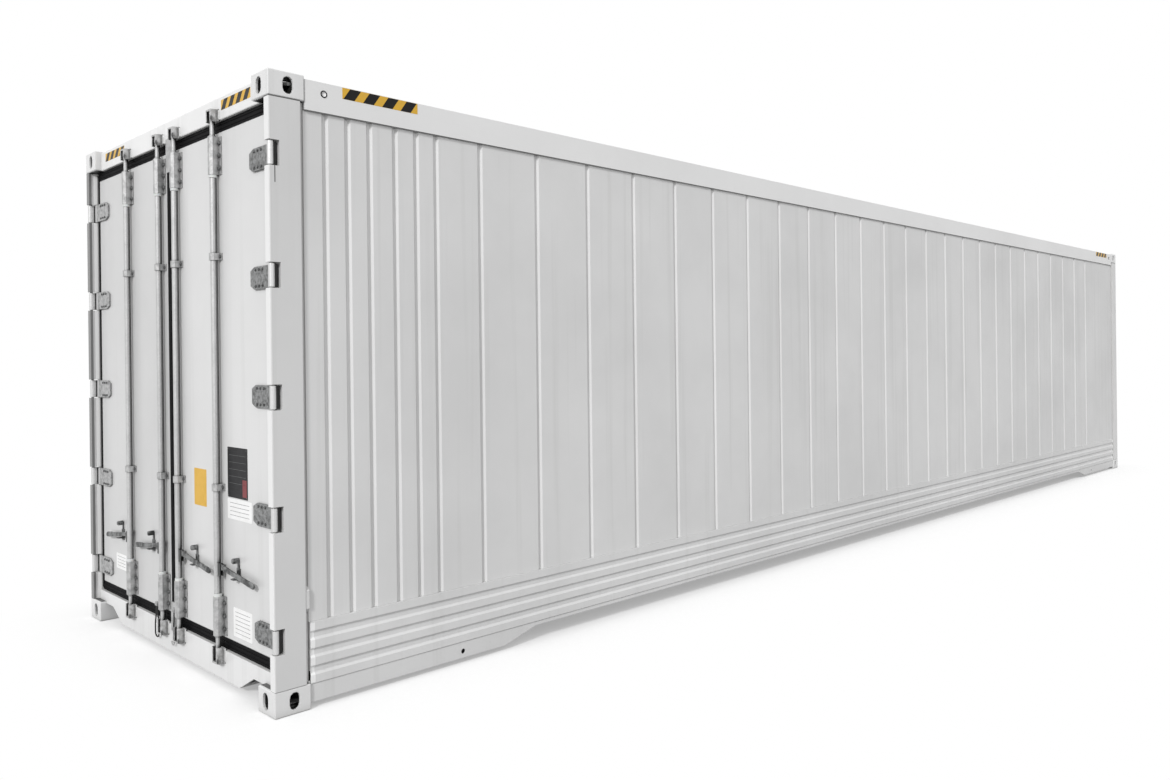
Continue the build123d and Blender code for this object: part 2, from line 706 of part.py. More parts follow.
def bottom_rail():
    # A deep pressed rail with lengthwise troughs and a set-back lower edge, deeper near each end.
    first = PANEL_BOTTOM - RAIL_SWAGE_DROP
    troughs = [first - RAIL_SWAGE_PITCH * i for i in range(RAIL_SWAGE_COUNT)]
    edge = swaged_edge(
        troughs, RAIL_SWAGE_TALL, RAIL_SWAGE_FLOOR, RAIL_SWAGE_DEPTH, rail_face, PANEL_BOTTOM, RAIL_STEP
    )
    low = rail_face - RAIL_STEP_INSET
    web = low - RAIL_WEB
    inner = hold_side + LINING
    outline = [(x, z) for z, x in edge] + [
        (low, RAIL_STEP - RAIL_STEP_INSET),
        (low, RAIL_BOTTOM),
        (low - RAIL_FLANGE, RAIL_BOTTOM),
        (low - RAIL_FLANGE, RAIL_BOTTOM + RAIL_WEB),
        (web, RAIL_BOTTOM + RAIL_WEB),
        (web, RAIL_CLOSED_BOTTOM),
        (inner, RAIL_CLOSED_BOTTOM),
        (inner, PANEL_BOTTOM),
    ]
    rail = lengthwise(outline, *rail_ys)
    flat_end = door_end + DEEP_END_LONG
    taper_end = flat_end + DEEP_END_SLOPE
    deep = [
        (rail_ys[0], RAIL_STEP),
        (rail_ys[0], DEEP_END_BOTTOM),
        (flat_end, DEEP_END_BOTTOM),
        (taper_end, RAIL_BOTTOM),
        (taper_end, RAIL_STEP),
    ]
    plate = crosswise(deep, low - DEEP_END_PLATE, low)
    hole = Rot(0, 90, 0) * bore(DRAIN_HOLE_RADIUS, 4 * DEEP_END_PLATE)
    plate -= Pos(low, door_end + DRAIN_HOLE_FROM_END, DRAIN_HOLE_HEIGHT) * hole
    behind_post = block((0, web), (door_end, panel_rear), (0, PANEL_BOTTOM))
    return rail - behind_post - flip_end(behind_post) + plate + flip_end(plate)


def roof_panel():
    # An insulated roof with shallow crosswise troughs.
    rear = -casting_inner_y + SEAT
    front = casting_inner_y - SEAT
    top = HEIGHT - ROOF_DROP
    points = swaged_edge(wide_swages, SWAGE_WIDTH, SWAGE_FLOOR, ROOF_SWAGE_DEPTH, top, rear, front)
    points += [(front, ceiling + LINING), (rear, ceiling + LINING)]
    reach = hold_side + LINING - SEAT
    return crosswise(points, -reach, reach)


def t_bar_floor():
    # Lengthwise T sections on a base sheet, so that air can pass under the cargo.
    count = int((2 * hold_side - T_BAR_HEAD) // T_BAR_PITCH) + 1
    base_top = slab_top + T_BAR_BASE
    head_bottom = FLOOR_TOP - T_BAR_HEAD_THICK
    reach = hold_side - SEAT
    stem = T_BAR_STEM / 2
    head = T_BAR_HEAD / 2
    section = [(stem, base_top), (stem, head_bottom), (head, head_bottom), (head, FLOOR_TOP)]
    section = [(-x, z) for x, z in section] + section[::-1]
    points = [(-reach, slab_top), (-reach, base_top)]
    for i in range(count):
        middle = (i - (count - 1) / 2) * T_BAR_PITCH
        points += [(middle + x, z) for x, z in section]
    points += [(reach, base_top), (reach, slab_top)]
    return lengthwise(points, hold_rear + SEAT, hold_front - SEAT)


def floor_slab():
    # Subfloor and insulation, cut back round the four lower castings.
    ys = (hold_rear + SEAT, front_end - POST_SIDE_LENGTH - SEAT)
    slab = block((-hold_side + SEAT, hold_side - SEAT), ys, (SLAB_BOTTOM, slab_top))
    room_ys = (door_end, -casting_inner_y + SEAT)
    room = block((casting_inner_x - SEAT, side), room_ys, (0, CASTING_TALL + SEAT))
    for corner in four_corners(room):
        slab -= corner
    return slab


def cross_member(y):
    # A C section below the floor slab, from rail to rail.
    top = SLAB_BOTTOM
    bottom = top - CROSS_MEMBER_TALL
    wall = CROSS_MEMBER_WALL
    ys = (y - CROSS_MEMBER_WIDE / 2, y + CROSS_MEMBER_WIDE / 2)
    points = [
        (ys[0], bottom),
        (ys[1], bottom),
        (ys[1], bottom + wall),
        (ys[0] + wall, bottom + wall),
        (ys[0] + wall, top - wall),
        (ys[1], top - wall),
        (ys[1], top),
        (ys[0], top),
    ]
    reach = rail_face - RAIL_STEP_INSET - RAIL_FLANGE - SEAT
    return crosswise(points, -reach, reach)


def cross_members():
    count = int((LENGTH - 2 * CROSS_MEMBER_END_SPACE) // CROSS_MEMBER_PITCH) + 1
    return [cross_member((i - (count - 1) / 2) * CROSS_MEMBER_PITCH) for i in range(count)]


def front_post():
    ys = (front_end - POST_SIDE_LENGTH, front_end - POST_FACE_DEPTH)
    zs = (CASTING_TALL, HEIGHT - CASTING_TALL)
    post = block((hold_side - LINING, side), ys, zs)
    post = chamfer(post.edges().filter_by(Axis.Z).group_by(Axis.Y)[-1], LEAF_EDGE)
    return post + block((hold_side + LINING, side - GROOVE_INSET), (panel_front + SEAT, ys[0]), zs)


def front_header():
    end = casting_inner_x - SEAT
    return block((-end, end), (casting_inner_y, front_end - FRAME_FACE_DEPTH), (header_bottom, header_top))


def front_sill():
    end = casting_inner_x - SEAT
    ys = (front_end - POST_SIDE_LENGTH, front_end - FRAME_FACE_DEPTH)
    return block((-end, end), ys, (SILL_BOTTOM, UNIT_BOTTOM))


def side_lining():
    ys = (hold_rear + LINING + SEAT, hold_front - SEAT)
    return block((hold_side, hold_side + LINING - SEAT), ys, (RAIL_CLOSED_BOTTOM, ceiling - SEAT))


def ceiling_lining():
    ys = (-casting_inner_y + SEAT, hold_front - SEAT)
    return block((-hold_side, hold_side), ys, (ceiling, ceiling + LINING - SEAT))


def unit_housing():
    # The closed housing across the machinery end, taken as one mass.
    reach = hold_side - LINING - UNIT_SIDE_GAP
    ys = (hold_front, front_end - UNIT_FACE_DEPTH)
    return block((-reach, reach), ys, (UNIT_BOTTOM + SEAT, header_bottom - SEAT))


def unit_covers():
    # Covers over the housing, in pairs, one row above another.
    reach = hold_side - LINING - UNIT_SIDE_GAP - COVER_MARGIN
    face = front_end - UNIT_FACE_DEPTH
    tops = [bottom - COVER_ROW_GAP for bottom in COVER_BOTTOMS[1:]] + [header_bottom - COVER_TOP_DROP]
    covers = []
    for bottom, top in zip(COVER_BOTTOMS, tops):
        cover = block((COVER_HALF_GAP, reach), (face, face + COVER_THICK), (bottom, top))
        covers += both_sides(chamfer(cover.edges().filter_by(Axis.Y), COVER_CORNER))
    return covers


casting = corner_casting()
write("corner_castings_lower", four_corners(casting))
write("corner_castings_upper", four_corners(mirror(casting, about=Plane.XY.offset(HEIGHT / 2))))

post = door_post()
write("door_post_right", post)
write("door_post_left", flip_side(post))
write("front_posts", both_sides(front_post()))
write("door_header", door_header())
write("door_sill", door_sill())
write("front_header", front_header())
write("front_sill", front_sill())

panel = side_panel()
write("side_panel_right", panel)
write("side_panel_left", flip_side(panel))
write("top_side_rails", both_sides(top_rail()))
write("bottom_side_rails", both_sides(bottom_rail()))
write("roof_panel", roof_panel())

write("side_linings", both_sides(side_lining()))
write("ceiling_lining", ceiling_lining())
write("t_bar_floor", t_bar_floor())
write("floor_slab", floor_slab())
write("cross_members", cross_members())
write("unit_housing", unit_housing())
write("unit_covers", unit_covers())

lower_zs = (bar_bottom - KEEPER_BRIDGE_GAP - KEEPER_BRIDGE, SILL_TOP + KEEPER_PAST_EDGE[0])
upper_zs = (header_bottom - KEEPER_PAST_EDGE[1], bar_top + KEEPER_BRIDGE_GAP + KEEPER_BRIDGE)
lower_keepers = [keeper(x, lower_zs, (lower_zs[0], lower_zs[0] + KEEPER_BRIDGE)) for x in bar_positions]
upper_keepers = [keeper(x, upper_zs, (upper_zs[1] - KEEPER_BRIDGE, upper_zs[1])) for x in bar_positions]
write("cam_keepers_lower", lower_keepers + [flip_side(part) for part in lower_keepers])
write("cam_keepers_upper", upper_keepers + [flip_side(part) for part in upper_keepers])

loop_middle = (LOOP_ROUTE[0][0] + LOOP_ROUTE[-1][0]) / 2
eye_front = rope_y - ROPE_RADIUS - EYE_PAST_ROPE
eyes = {
    "left": rope_eye(loop_middle, LOOP_ROUTE[0][1], eye_front, bracket_back),
    "right": rope_eye(LINE_ROUTE[0][0], LINE_ROUTE[0][1], eye_front, door_end + OVERLAP_FRONT - SEAT),
}
write("tie_rope_left", bent_rod(LOOP_ROUTE, ROPE_RADIUS, ROPE_SIDES))
write("tie_rope_right", bent_rod(LINE_ROUTE, ROPE_RADIUS, ROPE_SIDES))
write("tie_hook_right", tie_hook())

hands = {"right": lambda shape: shape, "left": flip_side}
for hand, turn in hands.items():
    write(f"door_leaf_{hand}", turn(door_leaf()))
    write(f"door_lining_{hand}", turn(door_lining()))
    write(f"door_gasket_{hand}", turn(door_gasket(GASKET_CENTRE[hand])))
    write(f"hinge_blades_{hand}", [turn(hinge_blade(height)) for height in hinge_heights])
    write(f"bar_brackets_{hand}", [turn(part) for part in bar_brackets()] + [eyes[hand]])
    write(f"handle_retainers_{hand}", [turn(handle_retainer(x)) for x in bar_positions])
    for place, bar_x in zip(("inner", "outer"), bar_positions):
        write(f"lock_bar_{hand}_{place}", turn(lock_bar(bar_x)))
        write(f"handle_{hand}_{place}", turn(handle(bar_x)))
write("overlap_plates", overlap_plates())
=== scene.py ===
import json
import math
import random

import bmesh
import bpy
from mathutils import Matrix, Vector


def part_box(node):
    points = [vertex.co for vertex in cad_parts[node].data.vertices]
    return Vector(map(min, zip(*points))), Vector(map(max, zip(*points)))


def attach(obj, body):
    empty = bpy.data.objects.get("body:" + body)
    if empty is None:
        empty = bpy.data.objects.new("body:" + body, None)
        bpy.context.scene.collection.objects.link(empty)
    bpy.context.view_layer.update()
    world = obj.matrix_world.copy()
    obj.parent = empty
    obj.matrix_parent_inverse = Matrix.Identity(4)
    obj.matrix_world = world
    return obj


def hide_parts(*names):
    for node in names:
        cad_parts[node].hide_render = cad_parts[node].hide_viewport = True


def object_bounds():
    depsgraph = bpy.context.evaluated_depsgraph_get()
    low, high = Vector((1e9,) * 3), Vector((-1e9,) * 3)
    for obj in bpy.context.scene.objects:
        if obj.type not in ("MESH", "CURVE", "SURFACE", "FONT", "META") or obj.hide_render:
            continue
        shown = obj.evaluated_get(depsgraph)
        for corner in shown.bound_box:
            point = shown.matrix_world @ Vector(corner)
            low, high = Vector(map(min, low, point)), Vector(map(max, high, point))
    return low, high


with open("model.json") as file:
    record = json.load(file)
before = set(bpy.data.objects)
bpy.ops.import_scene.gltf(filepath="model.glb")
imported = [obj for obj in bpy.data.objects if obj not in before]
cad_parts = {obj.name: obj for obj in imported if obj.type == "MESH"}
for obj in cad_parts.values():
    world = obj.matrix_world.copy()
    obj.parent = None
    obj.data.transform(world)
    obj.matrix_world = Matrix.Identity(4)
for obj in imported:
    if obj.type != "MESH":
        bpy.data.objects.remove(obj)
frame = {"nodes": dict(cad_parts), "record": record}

# Refrigerated shipping container: finishes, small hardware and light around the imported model.
# Everything is in metres; a size written in millimetres is multiplied by mm.
random.seed(11)
mm = 0.001
cadLow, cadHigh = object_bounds()
doorEnd, frontEnd = cadLow.y, cadHigh.y

cameraLook = {
    "place": (5.1468, -8.0471, 1.6004),
    "yaw": 45.06,       # degrees round from looking along +Y
    "pitch": 0.07,
    "roll": -0.657,
    "lens": 28.86, "sensor": 36,    # mm
    "shiftY": -0.0281,
    "clip": (0.1, 500),
}


def addObject(name, data):
    item = bpy.data.objects.new(name, data)
    bpy.context.collection.objects.link(item)
    return item


def placeCamera(look):
    yaw, pitch, roll = (math.radians(look[key]) for key in ("yaw", "pitch", "roll"))
    back = Vector((math.sin(yaw) * math.cos(pitch), -math.cos(yaw) * math.cos(pitch), math.sin(pitch)))
    level = (-back).cross(Vector((0, 0, 1))).normalized()
    upright = level.cross(-back)
    right = level * math.cos(roll) + upright * math.sin(roll)
    up = upright * math.cos(roll) - level * math.sin(roll)
    data = bpy.data.cameras.new("photoCamera")
    data.lens, data.sensor_width = look["lens"], look["sensor"]
    data.shift_y = look["shiftY"]
    data.clip_start, data.clip_end = look["clip"]
    eye = addObject("photoCamera", data)
    turned = Matrix((right, up, back)).transposed().to_4x4()
    eye.matrix_world = Matrix.Translation(look["place"]) @ turned
    bpy.context.scene.camera = eye


placeCamera(cameraLook)
print("camera placed")


def linear(hexCode):
    # an sRGB hex value as the linear colour that the shaders work in
    parts = [int(hexCode[i:i + 2], 16) / 255 for i in (1, 3, 5)]
    return tuple(p / 12.92 if p <= 0.04045 else ((p + 0.055) / 1.055) ** 2.4 for p in parts) + (1,)


def perMetre(sizeInMm):
    # a pattern's scale from the size of one of its features
    return 1000 / sizeInMm


def addNode(tree, kind, settings=None, links=None):
    # one shader node, its own values, and a node or a socket for each linked input
    node = tree.nodes.new("ShaderNode" + kind)
    for name, value in (settings or {}).items():
        if isinstance(name, int) or name in node.inputs:
            node.inputs[name].default_value = value
        else:
            setattr(node, name, value)
    for name, source in (links or {}).items():
        tree.links.new(getattr(source, "outputs", [source])[0], node.inputs[name])
    return node


def ramp(cut, start, end):
    # settings that give start at the lower cut and end at the upper one
    return {"From Min": cut[0], "From Max": cut[1], "To Min": start, "To Max": end}


def patches(tree, coords, sizeMm, cut=(0.2, 0.8), amount=1.0, detail=4.0):
    # cloudy patches of one size: nothing below the lower cut, the full amount above the upper one
    noise = addNode(tree, "TexNoise", {"Scale": perMetre(sizeMm), "Detail": detail, "Roughness": 0.6},
                    {"Vector": coords})
    return addNode(tree, "MapRange", ramp(cut, 0, amount), {"Value": noise})


def hollows(tree, reach, cut, amount):
    # the full amount deep in a corner or slot, nothing in the open; the finishes use it for dirt and for
    # painted shade in corners
    shade = addNode(tree, "AmbientOcclusion", {"Distance": reach, "samples": 6})
    return addNode(tree, "MapRange", ramp(cut, amount, 0), {"Value": shade.outputs["AO"]})


def within(tree, coords, limits, soft=1.5):
    # one where the distance from the middle along each named axis lies between its two limits, in mm
    axes = addNode(tree, "SeparateXYZ", None, {0: coords})
    inside = None
    for axis, (low, high) in limits.items():
        reach = addNode(tree, "Math", {"operation": "ABSOLUTE"}, {0: axes.outputs[axis]})
        rise = addNode(tree, "MapRange", ramp((low * mm, (low + soft) * mm), 0, 1), {"Value": reach})
        fall = addNode(tree, "MapRange", ramp(((high - soft) * mm, high * mm), 1, 0), {"Value": reach})
        both = addNode(tree, "Math", {"operation": "MULTIPLY"}, {0: rise, 1: fall})
        inside = addNode(tree, "Math", {"operation": "MULTIPLY"}, {0: inside, 1: both}) if inside else both
    return inside


def rubbedEdges(tree, radius, cut, amount):
    # a rounded normal, and a mask along edges from how far that normal leans away from the true one
    rounded = addNode(tree, "Bevel", {"Radius": radius, "samples": 4})
    plain = addNode(tree, "NewGeometry")
    lean = addNode(tree, "VectorMath", {"operation": "DOT_PRODUCT"},
                   {0: rounded, 1: plain.outputs["Normal"]})
    mask = addNode(tree, "MapRange", ramp(cut, amount, 0), {"Value": lean.outputs["Value"]})
    return rounded, mask


def coatOver(tree, ground, layers):
    # tints laid over a ground colour, one after another, each where its mask is high
    for mask, tint in layers:
        ground = addNode(tree, "MixRGB", {"Color2": linear(tint)}, {"Fac": mask, "Color1": ground})
    return ground


def twoTone(tree, mask, look, first, second):
    # one tint where the mask is low and another where it is high
    return addNode(tree, "MixRGB", {"Color1": linear(look[first]), "Color2": linear(look[second])},
                   {"Fac": mask})


def makeMaterial(name, settings, surface, look):
    # a surface gives a colour, a gloss as a mask and the roughness at each end of it, bumps as height,
    # strength and depth in mm, and perhaps a normal that they start from
    material = bpy.data.materials.new(name)
    material.use_nodes = True
    tree = material.node_tree
    shader = tree.nodes["Principled BSDF"]
    for key, value in settings.items():
        shader.inputs[key].default_value = value
    coords = addNode(tree, "TexCoord").outputs["Object"]
    colour, (mask, smooth, dull), bumps, *normals = surface(tree, coords, look)
    rough = addNode(tree, "MapRange", ramp((0, 1), smooth, dull), {"Value": mask})
    for height, strength, depth in bumps:
        links = {"Height": height, "Normal": normals[-1]} if normals else {"Height": height}
        normals.append(addNode(tree, "Bump", {"Strength": strength, "Distance": depth * mm}, links))
    for node, socket in ((colour, "Base Color"), (rough, "Roughness"), (normals[-1], "Normal")):
        tree.links.new(node.outputs[0], shader.inputs[socket])
    return material


def laidRope(tree, coords, look):
    # Three-strand polypropylene rope, spun from fine film: black and waxy, dusty in patches. The film's
    # fibres are finer than shows, so they are drawn coarse.
    dust = patches(tree, coords, sizeMm=14, cut=(0.4, 0.7), amount=0.8)
    fibre = patches(tree, coords, sizeMm=1.2, cut=(0.3, 0.7), detail=2.0)
    return twoTone(tree, dust, look, "black", "dust"), (dust, 0.55, 0.8), [(fibre, 0.5, 0.4)]


def sprayedEnamel(tree, coords, look):
    # Two-pack polyurethane enamel sprayed on steel: even and softly glossy, with a faint orange peel,
    # faint grey rain runs, dust and painted shade in the folds and paint chipped along edges. Marks are
    # bands of another tint at a fixed place: dark joints, painted highlights and painted shade.
    cloud = patches(tree, coords, look["cloudMm"], (0.35, 0.68))
    across = perMetre(look["runMm"])
    fall = addNode(tree, "Mapping", {"Scale": (across, across, 0.35)}, {"Vector": coords})
    runs = patches(tree, fall, sizeMm=1000, cut=(0.54, 0.74), amount=look["runs"], detail=3.0)
    rounded, edges = rubbedEdges(tree, look["edge"], (0.86, 0.985), look["wear"])
    chips = patches(tree, coords, sizeMm=9, cut=(0.52, 0.66), detail=5.0)
    worn = addNode(tree, "Math", {"operation": "MULTIPLY"}, {0: edges, 1: chips})
    # dust and painted shade: darker in the folds and corners, where less light reaches
    dust = hollows(tree, look["dustReach"], (0.35, 0.9), look["dust"])
    layers = [(runs, look["runTint"]), (dust, look["dustTint"]), (worn, look["wearTint"])]
    for limits, tint in look["marks"]:
        layers.append((within(tree, coords, limits), tint))
    paint = coatOver(tree, twoTone(tree, cloud, look, "paint", "shade"), layers)
    swell = patches(tree, coords, look["swellMm"], detail=1.0)
    peel = patches(tree, coords, sizeMm=2.6, detail=1.5)
    gloss = (cloud, look["rough"] - 0.04, look["rough"] + 0.05)
    return paint, gloss, [(swell, look["swell"], 4), (peel, look["peel"], 0.4)], rounded


frameLook = {
    "paint": "#D6D6D6", "shade": "#D0D0D0", "runTint": "#C4C4C3", "dustTint": "#9B9B98",
    "wearTint": "#848584", "cloudMm": 900, "runMm": 70, "runs": 0.3, "dust": 0.45, "dustReach": 0.05,
    "wear": 0.5, "edge": 0.003, "rough": 0.36, "peel": 0.25, "swell": 0.05, "swellMm": 260, "coat": 0.15,
    "marks": [({"Y": (6088, 6100)}, "#E8E8E8"),    # front faces painted paler: a painted highlight where they face the light
              ({"Z": (2773, 2780)}, "#4A4A4A"), ({"Z": (116, 120)}, "#8E8E8E"),    # joints to the castings
              ({"X": (1200, 1230), "Y": (6063, 6069), "Z": (2391, 2472)}, "#2A2A2A")],  # painted shade: a dark band standing for a slit by a notch
}
doorLook = dict(frameLook, paint="#DBDBDB", shade="#D4D4D4", swell=0.12, swellMm=420, wear=0.3, marks=[])
panelLook = dict(frameLook, paint="#DBDBDB", shade="#D3D3D3", swell=0.1, swellMm=500, runs=0.4, dust=0.2,
                 coat=0.0, rough=0.5, marks=[])
enamelLook = {
    "frame": frameLook,
    "leftPost": dict(frameLook, marks=frameLook["marks"] + [({"Y": (6078, 6100)}, "#767676")]),    # its front painted dark grey: painted shade
    "casting": dict(frameLook, paint="#E2E2E2", shade="#DCDCDC", edge=0.006,    # painted shade: near black inside, behind its openings
        marks=[({"X": (1060, 1209), "Y": (5921, 6086), "Z": (10, 2886)}, "#232322")]),
    "sill": dict(frameLook, paint="#E8E8E8", shade="#E0E0E0", marks=[]),
    "header": dict(frameLook, paint="#ECECEC", shade="#E7E7E7", marks=[]),
    # a keeper: its hollows near black with dust and painted shade, its mouth most of all
    "keeper": dict(frameLook, paint="#C6C6C6", shade="#8A8A89", cloudMm=22, wear=1.0, edge=0.005,
        wearTint="#3E3E3D", dust=0.95, dustReach=0.03, dustTint="#2E2E2D", marks=[]),
    "door": doorLook,
    # the left leaf painted darker than the right: painted shade near the post
    "leftDoor": dict(doorLook, paint="#D0D0D0", shade="#CACACA"),
    "panel": panelLook,
    # the top rail painted paler than the frame: painted light on its face
    "rail": dict(frameLook, paint="#E6E6E6", shade="#E1E1E1", dust=0.2, runs=0.0,
        marks=[({"Z": (2739, 2744)}, "#4A4A4A")]),    # painted shadow under the rail's lower edge, over the side panel
    "lowRail": dict(panelLook, dust=0.05, swell=0.3, swellMm=140,
        marks=[({"Y": (5893, 5916), "Z": (118, 392)}, "#F2F2F2")]),    # painted highlight on its squared end
    "unit": dict(frameLook, paint="#D2D2D2", shade="#CACAC9", swell=0.08, marks=[]),
}
enamel = {name: makeMaterial(name + "EnamelSprayed", {"IOR": 1.5, "Coat Weight": look["coat"],
                                                      "Coat Roughness": 0.12}, sprayedEnamel, look)
          for name, look in enamelLook.items()}


def hotDipZinc(tree, coords, look):
    # Hot-dip galvanised steel: pale dull grey with a faint crystal spangle and darker stains in patches,
    # dark with road grime and painted shade behind it and in hollows, and brighter where edges are rubbed.
    spangle = addNode(tree, "TexVoronoi", {"Scale": perMetre(look["spangleMm"])}, {"Vector": coords})
    flake = addNode(tree, "SeparateColor", None, {"Color": spangle.outputs["Color"]})
    stain = patches(tree, coords, look["stainMm"], (0.42, 0.7), look["stains"], detail=5.0)
    rounded, edges = rubbedEdges(tree, 1.5 * mm, (0.85, 0.98), look["rub"])
    # grime and painted shade: dark where the piece is hemmed in, as on a bar's side by the leaf
    grime = hollows(tree, look["grimeReach"], look["grimeCut"], look["grime"])
    layers = [(stain, look["stainTint"])]
    for limits, tint in look["marks"]:
        layers.append((within(tree, coords, limits), tint))
    layers += [(edges, look["rubTint"]), (grime, look["grimeTint"])]
    zinc = coatOver(tree, twoTone(tree, flake, look, "dark", "light"), layers)
    gloss = (flake, look["rough"] - 0.05, look["rough"] + 0.07)
    return zinc, gloss, [(stain, look["bump"], 0.6)], rounded


# the bars' dark grime tint is mostly painted shade on their sides toward the leaf
barLook = {
    "light": "#C6C6C6", "dark": "#BCBCBC", "stainTint": "#A0A1A1", "grimeTint": "#262626",
    "rubTint": "#D2D2D2", "spangleMm": 7, "stainMm": 90, "stains": 0.35, "grime": 1.0, "grimeReach": 0.07,
    "grimeCut": (0.42, 0.93), "rub": 0.2, "rough": 0.4, "bump": 0.08,
    "marks": [({"X": (131, 162), "Z": (535, 612)}, "#3A3B3B"),    # the dark forks that hold the handles
              ({"X": (611, 642), "Z": (535, 612)}, "#3A3B3B")],
}
bladeLook = dict(barLook, light="#949595", dark="#7D7E7E", stainTint="#454646", stainMm=17, stains=1.0,
                 grimeReach=0.03, grimeCut=(0.25, 0.75), bump=0.6,
                 marks=[({"X": (1146, 1230)}, "#CFCFCF"),     # paler outer end, and painted shade behind the pin inside the post's notch
                        ({"X": (1180, 1230), "Y": (6000, 6064)}, "#1E1E1E")])
zincLook = {
    "bar": barLook,
    "bracket": dict(barLook, marks=[], light="#BFBFBF", dark="#B2B2B2", stainTint="#868787", stainMm=32,
        stains=0.85, grimeReach=0.03, grimeCut=(0.25, 0.75)),
    "hinge": bladeLook,
    "leftHinge": dict(bladeLook, light="#C0C0C0", dark="#ADADAD", stainTint="#767777"),
    "bolt": dict(barLook, marks=[], light="#6C6D6D", dark="#505151", spangleMm=5, stainMm=12,
        grimeReach=0.02, grimeCut=(0.35, 0.95), rub=0.15),
}
zinc = {name: makeMaterial(name + "SteelHotDipped", {"Metallic": 0.4}, hotDipZinc, look)
        for name, look in zincLook.items()}


def weatheredForging(tree, coords, look):
    # Drop-forged steel with a thin zinc wash: patchy dark grey and pitted, paler where hands rub.
    patch = patches(tree, coords, sizeMm=30, cut=(0.42, 0.58), detail=5.0)
    pits = patches(tree, coords, sizeMm=3.5, detail=6.0)
    rounded, edges = rubbedEdges(tree, radius=1.8 * mm, cut=(0.8, 0.97), amount=0.6)
    # grime and painted shade: near black in the forging's hollows
    grime = hollows(tree, reach=0.03, cut=(0.25, 0.85), amount=0.85)
    steel = coatOver(tree, twoTone(tree, patch, look, "dark", "light"),
                     [(edges, look["rub"]), (grime, look["grime"])])
    return steel, (patch, 0.42, 0.62), [(pits, 0.55, 0.8)], rounded


def extrudedRubber(tree, coords, look):
    # Extruded EPDM seal: near black and matt, with a faint grey bloom and a fine pebbled skin, whose
    # grain is drawn coarser than it is.
    bloom = patches(tree, coords, sizeMm=120, cut=(0.4, 0.75))
    grain = patches(tree, coords, sizeMm=1.6, detail=2.0)
    return twoTone(tree, bloom, look, "black", "bloom"), (bloom, 0.62, 0.8), [(grain, 0.2, 0.4)]


def millAluminium(tree, coords, look):
    # Mill-finish aluminium extrusion: pale metal with long die lines, drawn coarse, and scuffs.
    across = perMetre(2.2)
    lengthwise = addNode(tree, "Mapping", {"Scale": (across, 1.5, across)}, {"Vector": coords})
    lines = patches(tree, lengthwise, sizeMm=1000, detail=3.0)
    scuff = patches(tree, coords, sizeMm=160, cut=(0.4, 0.65), detail=6.0)
    return twoTone(tree, scuff, look, "light", "scuffed"), (scuff, 0.3, 0.5), [(lines, 0.3, 0.3)]


def rolledLining(tree, coords, look):
    # Food-grade lining sheet rolled on to foam: smooth, slightly glossy, faintly wavy, scuffed in places.
    wave = patches(tree, coords, sizeMm=350, detail=2.0)
    marks = patches(tree, coords, sizeMm=40, cut=(0.55, 0.75), amount=0.35, detail=6.0)
    # grime and painted shade in the lining's corners
    grime = hollows(tree, reach=0.04, cut=(0.3, 0.9), amount=0.4)
    sheet = coatOver(tree, twoTone(tree, marks, look, "sheet", "marks"), [(grime, look["grime"])])
    return sheet, (marks, 0.3, 0.5), [(wave, 0.12, 3)]


def brushedBitumen(tree, coords, look):
    # Bitumen undercoat laid on by brush: almost black, matt and lumpy, with a dusting of road dirt.
    lumps = patches(tree, coords, sizeMm=14, detail=5.0)
    dirt = patches(tree, coords, sizeMm=300, cut=(0.45, 0.7), detail=5.0)
    return twoTone(tree, dirt, look, "tar", "dirt"), (dirt, 0.55, 0.85), [(lumps, 0.5, 2)]


def printedVinyl(tree, coords, look):
    # Self-adhesive vinyl film: flat colour with a slight sheen, dulled and dusty in patches.
    dull = patches(tree, coords, sizeMm=45, cut=(0.42, 0.72), amount=look["fade"], detail=5.0)
    return twoTone(tree, dull, look, "film", "dulled"), (dull, 0.3, 0.6), [(dull, 0.1, 0.5)]


def anodisedPlate(tree, coords, look):
    # Black anodised aluminium plate: dark satin with a grain across it, drawn coarser than it is.
    across = addNode(tree, "Mapping", {"Scale": (6, 6, perMetre(0.9))}, {"Vector": coords})
    grain = patches(tree, across, sizeMm=1000, cut=(0.3, 0.7), detail=3.0)
    dust = patches(tree, coords, sizeMm=30, cut=(0.45, 0.7), amount=0.5, detail=5.0)
    return twoTone(tree, dust, look, "black", "dust"), (grain, 0.35, 0.5), [(grain, 0.15, 0.2)]


def mouldedNylon(tree, coords, look):
    # Injection-moulded nylon bush: off-white and waxy, greyed by the bar that turns in it.
    greyed = patches(tree, coords, sizeMm=9, cut=(0.45, 0.75), amount=0.6)
    return twoTone(tree, greyed, look, "nylon", "greyed"), (greyed, 0.35, 0.55), [(greyed, 0.1, 0.3)]


handleForging = makeMaterial("handleSteelForged", {"Metallic": 0.4}, weatheredForging, {
    "light": "#868787", "dark": "#333434", "rub": "#A4A5A5", "grime": "#101010"})
pinForging = makeMaterial("pinSteelForged", {"Metallic": 0.4}, weatheredForging, {
    "light": "#515252", "dark": "#222323", "rub": "#8E8F8F", "grime": "#0C0C0C"})
sealRubber = makeMaterial("sealRubberExtruded", {"IOR": 1.52, "Specular IOR Level": 0.1}, extrudedRubber, {
    "black": "#08080A", "bloom": "#111112"})
floorAluminium = makeMaterial("floorAluminiumExtruded", {"Metallic": 0.6}, millAluminium, {
    "light": "#D3D5D6", "scuffed": "#A9ABAD"})
holdLining = makeMaterial("liningSheetRolled", {"IOR": 1.5}, rolledLining, {
    "sheet": "#E3E4E2", "marks": "#BFC0BC", "grime": "#86867F"})
underBitumen = makeMaterial("undercoatBitumenBrushed", {"IOR": 1.6}, brushedBitumen, {
    "tar": "#202020", "dirt": "#4A4641"})
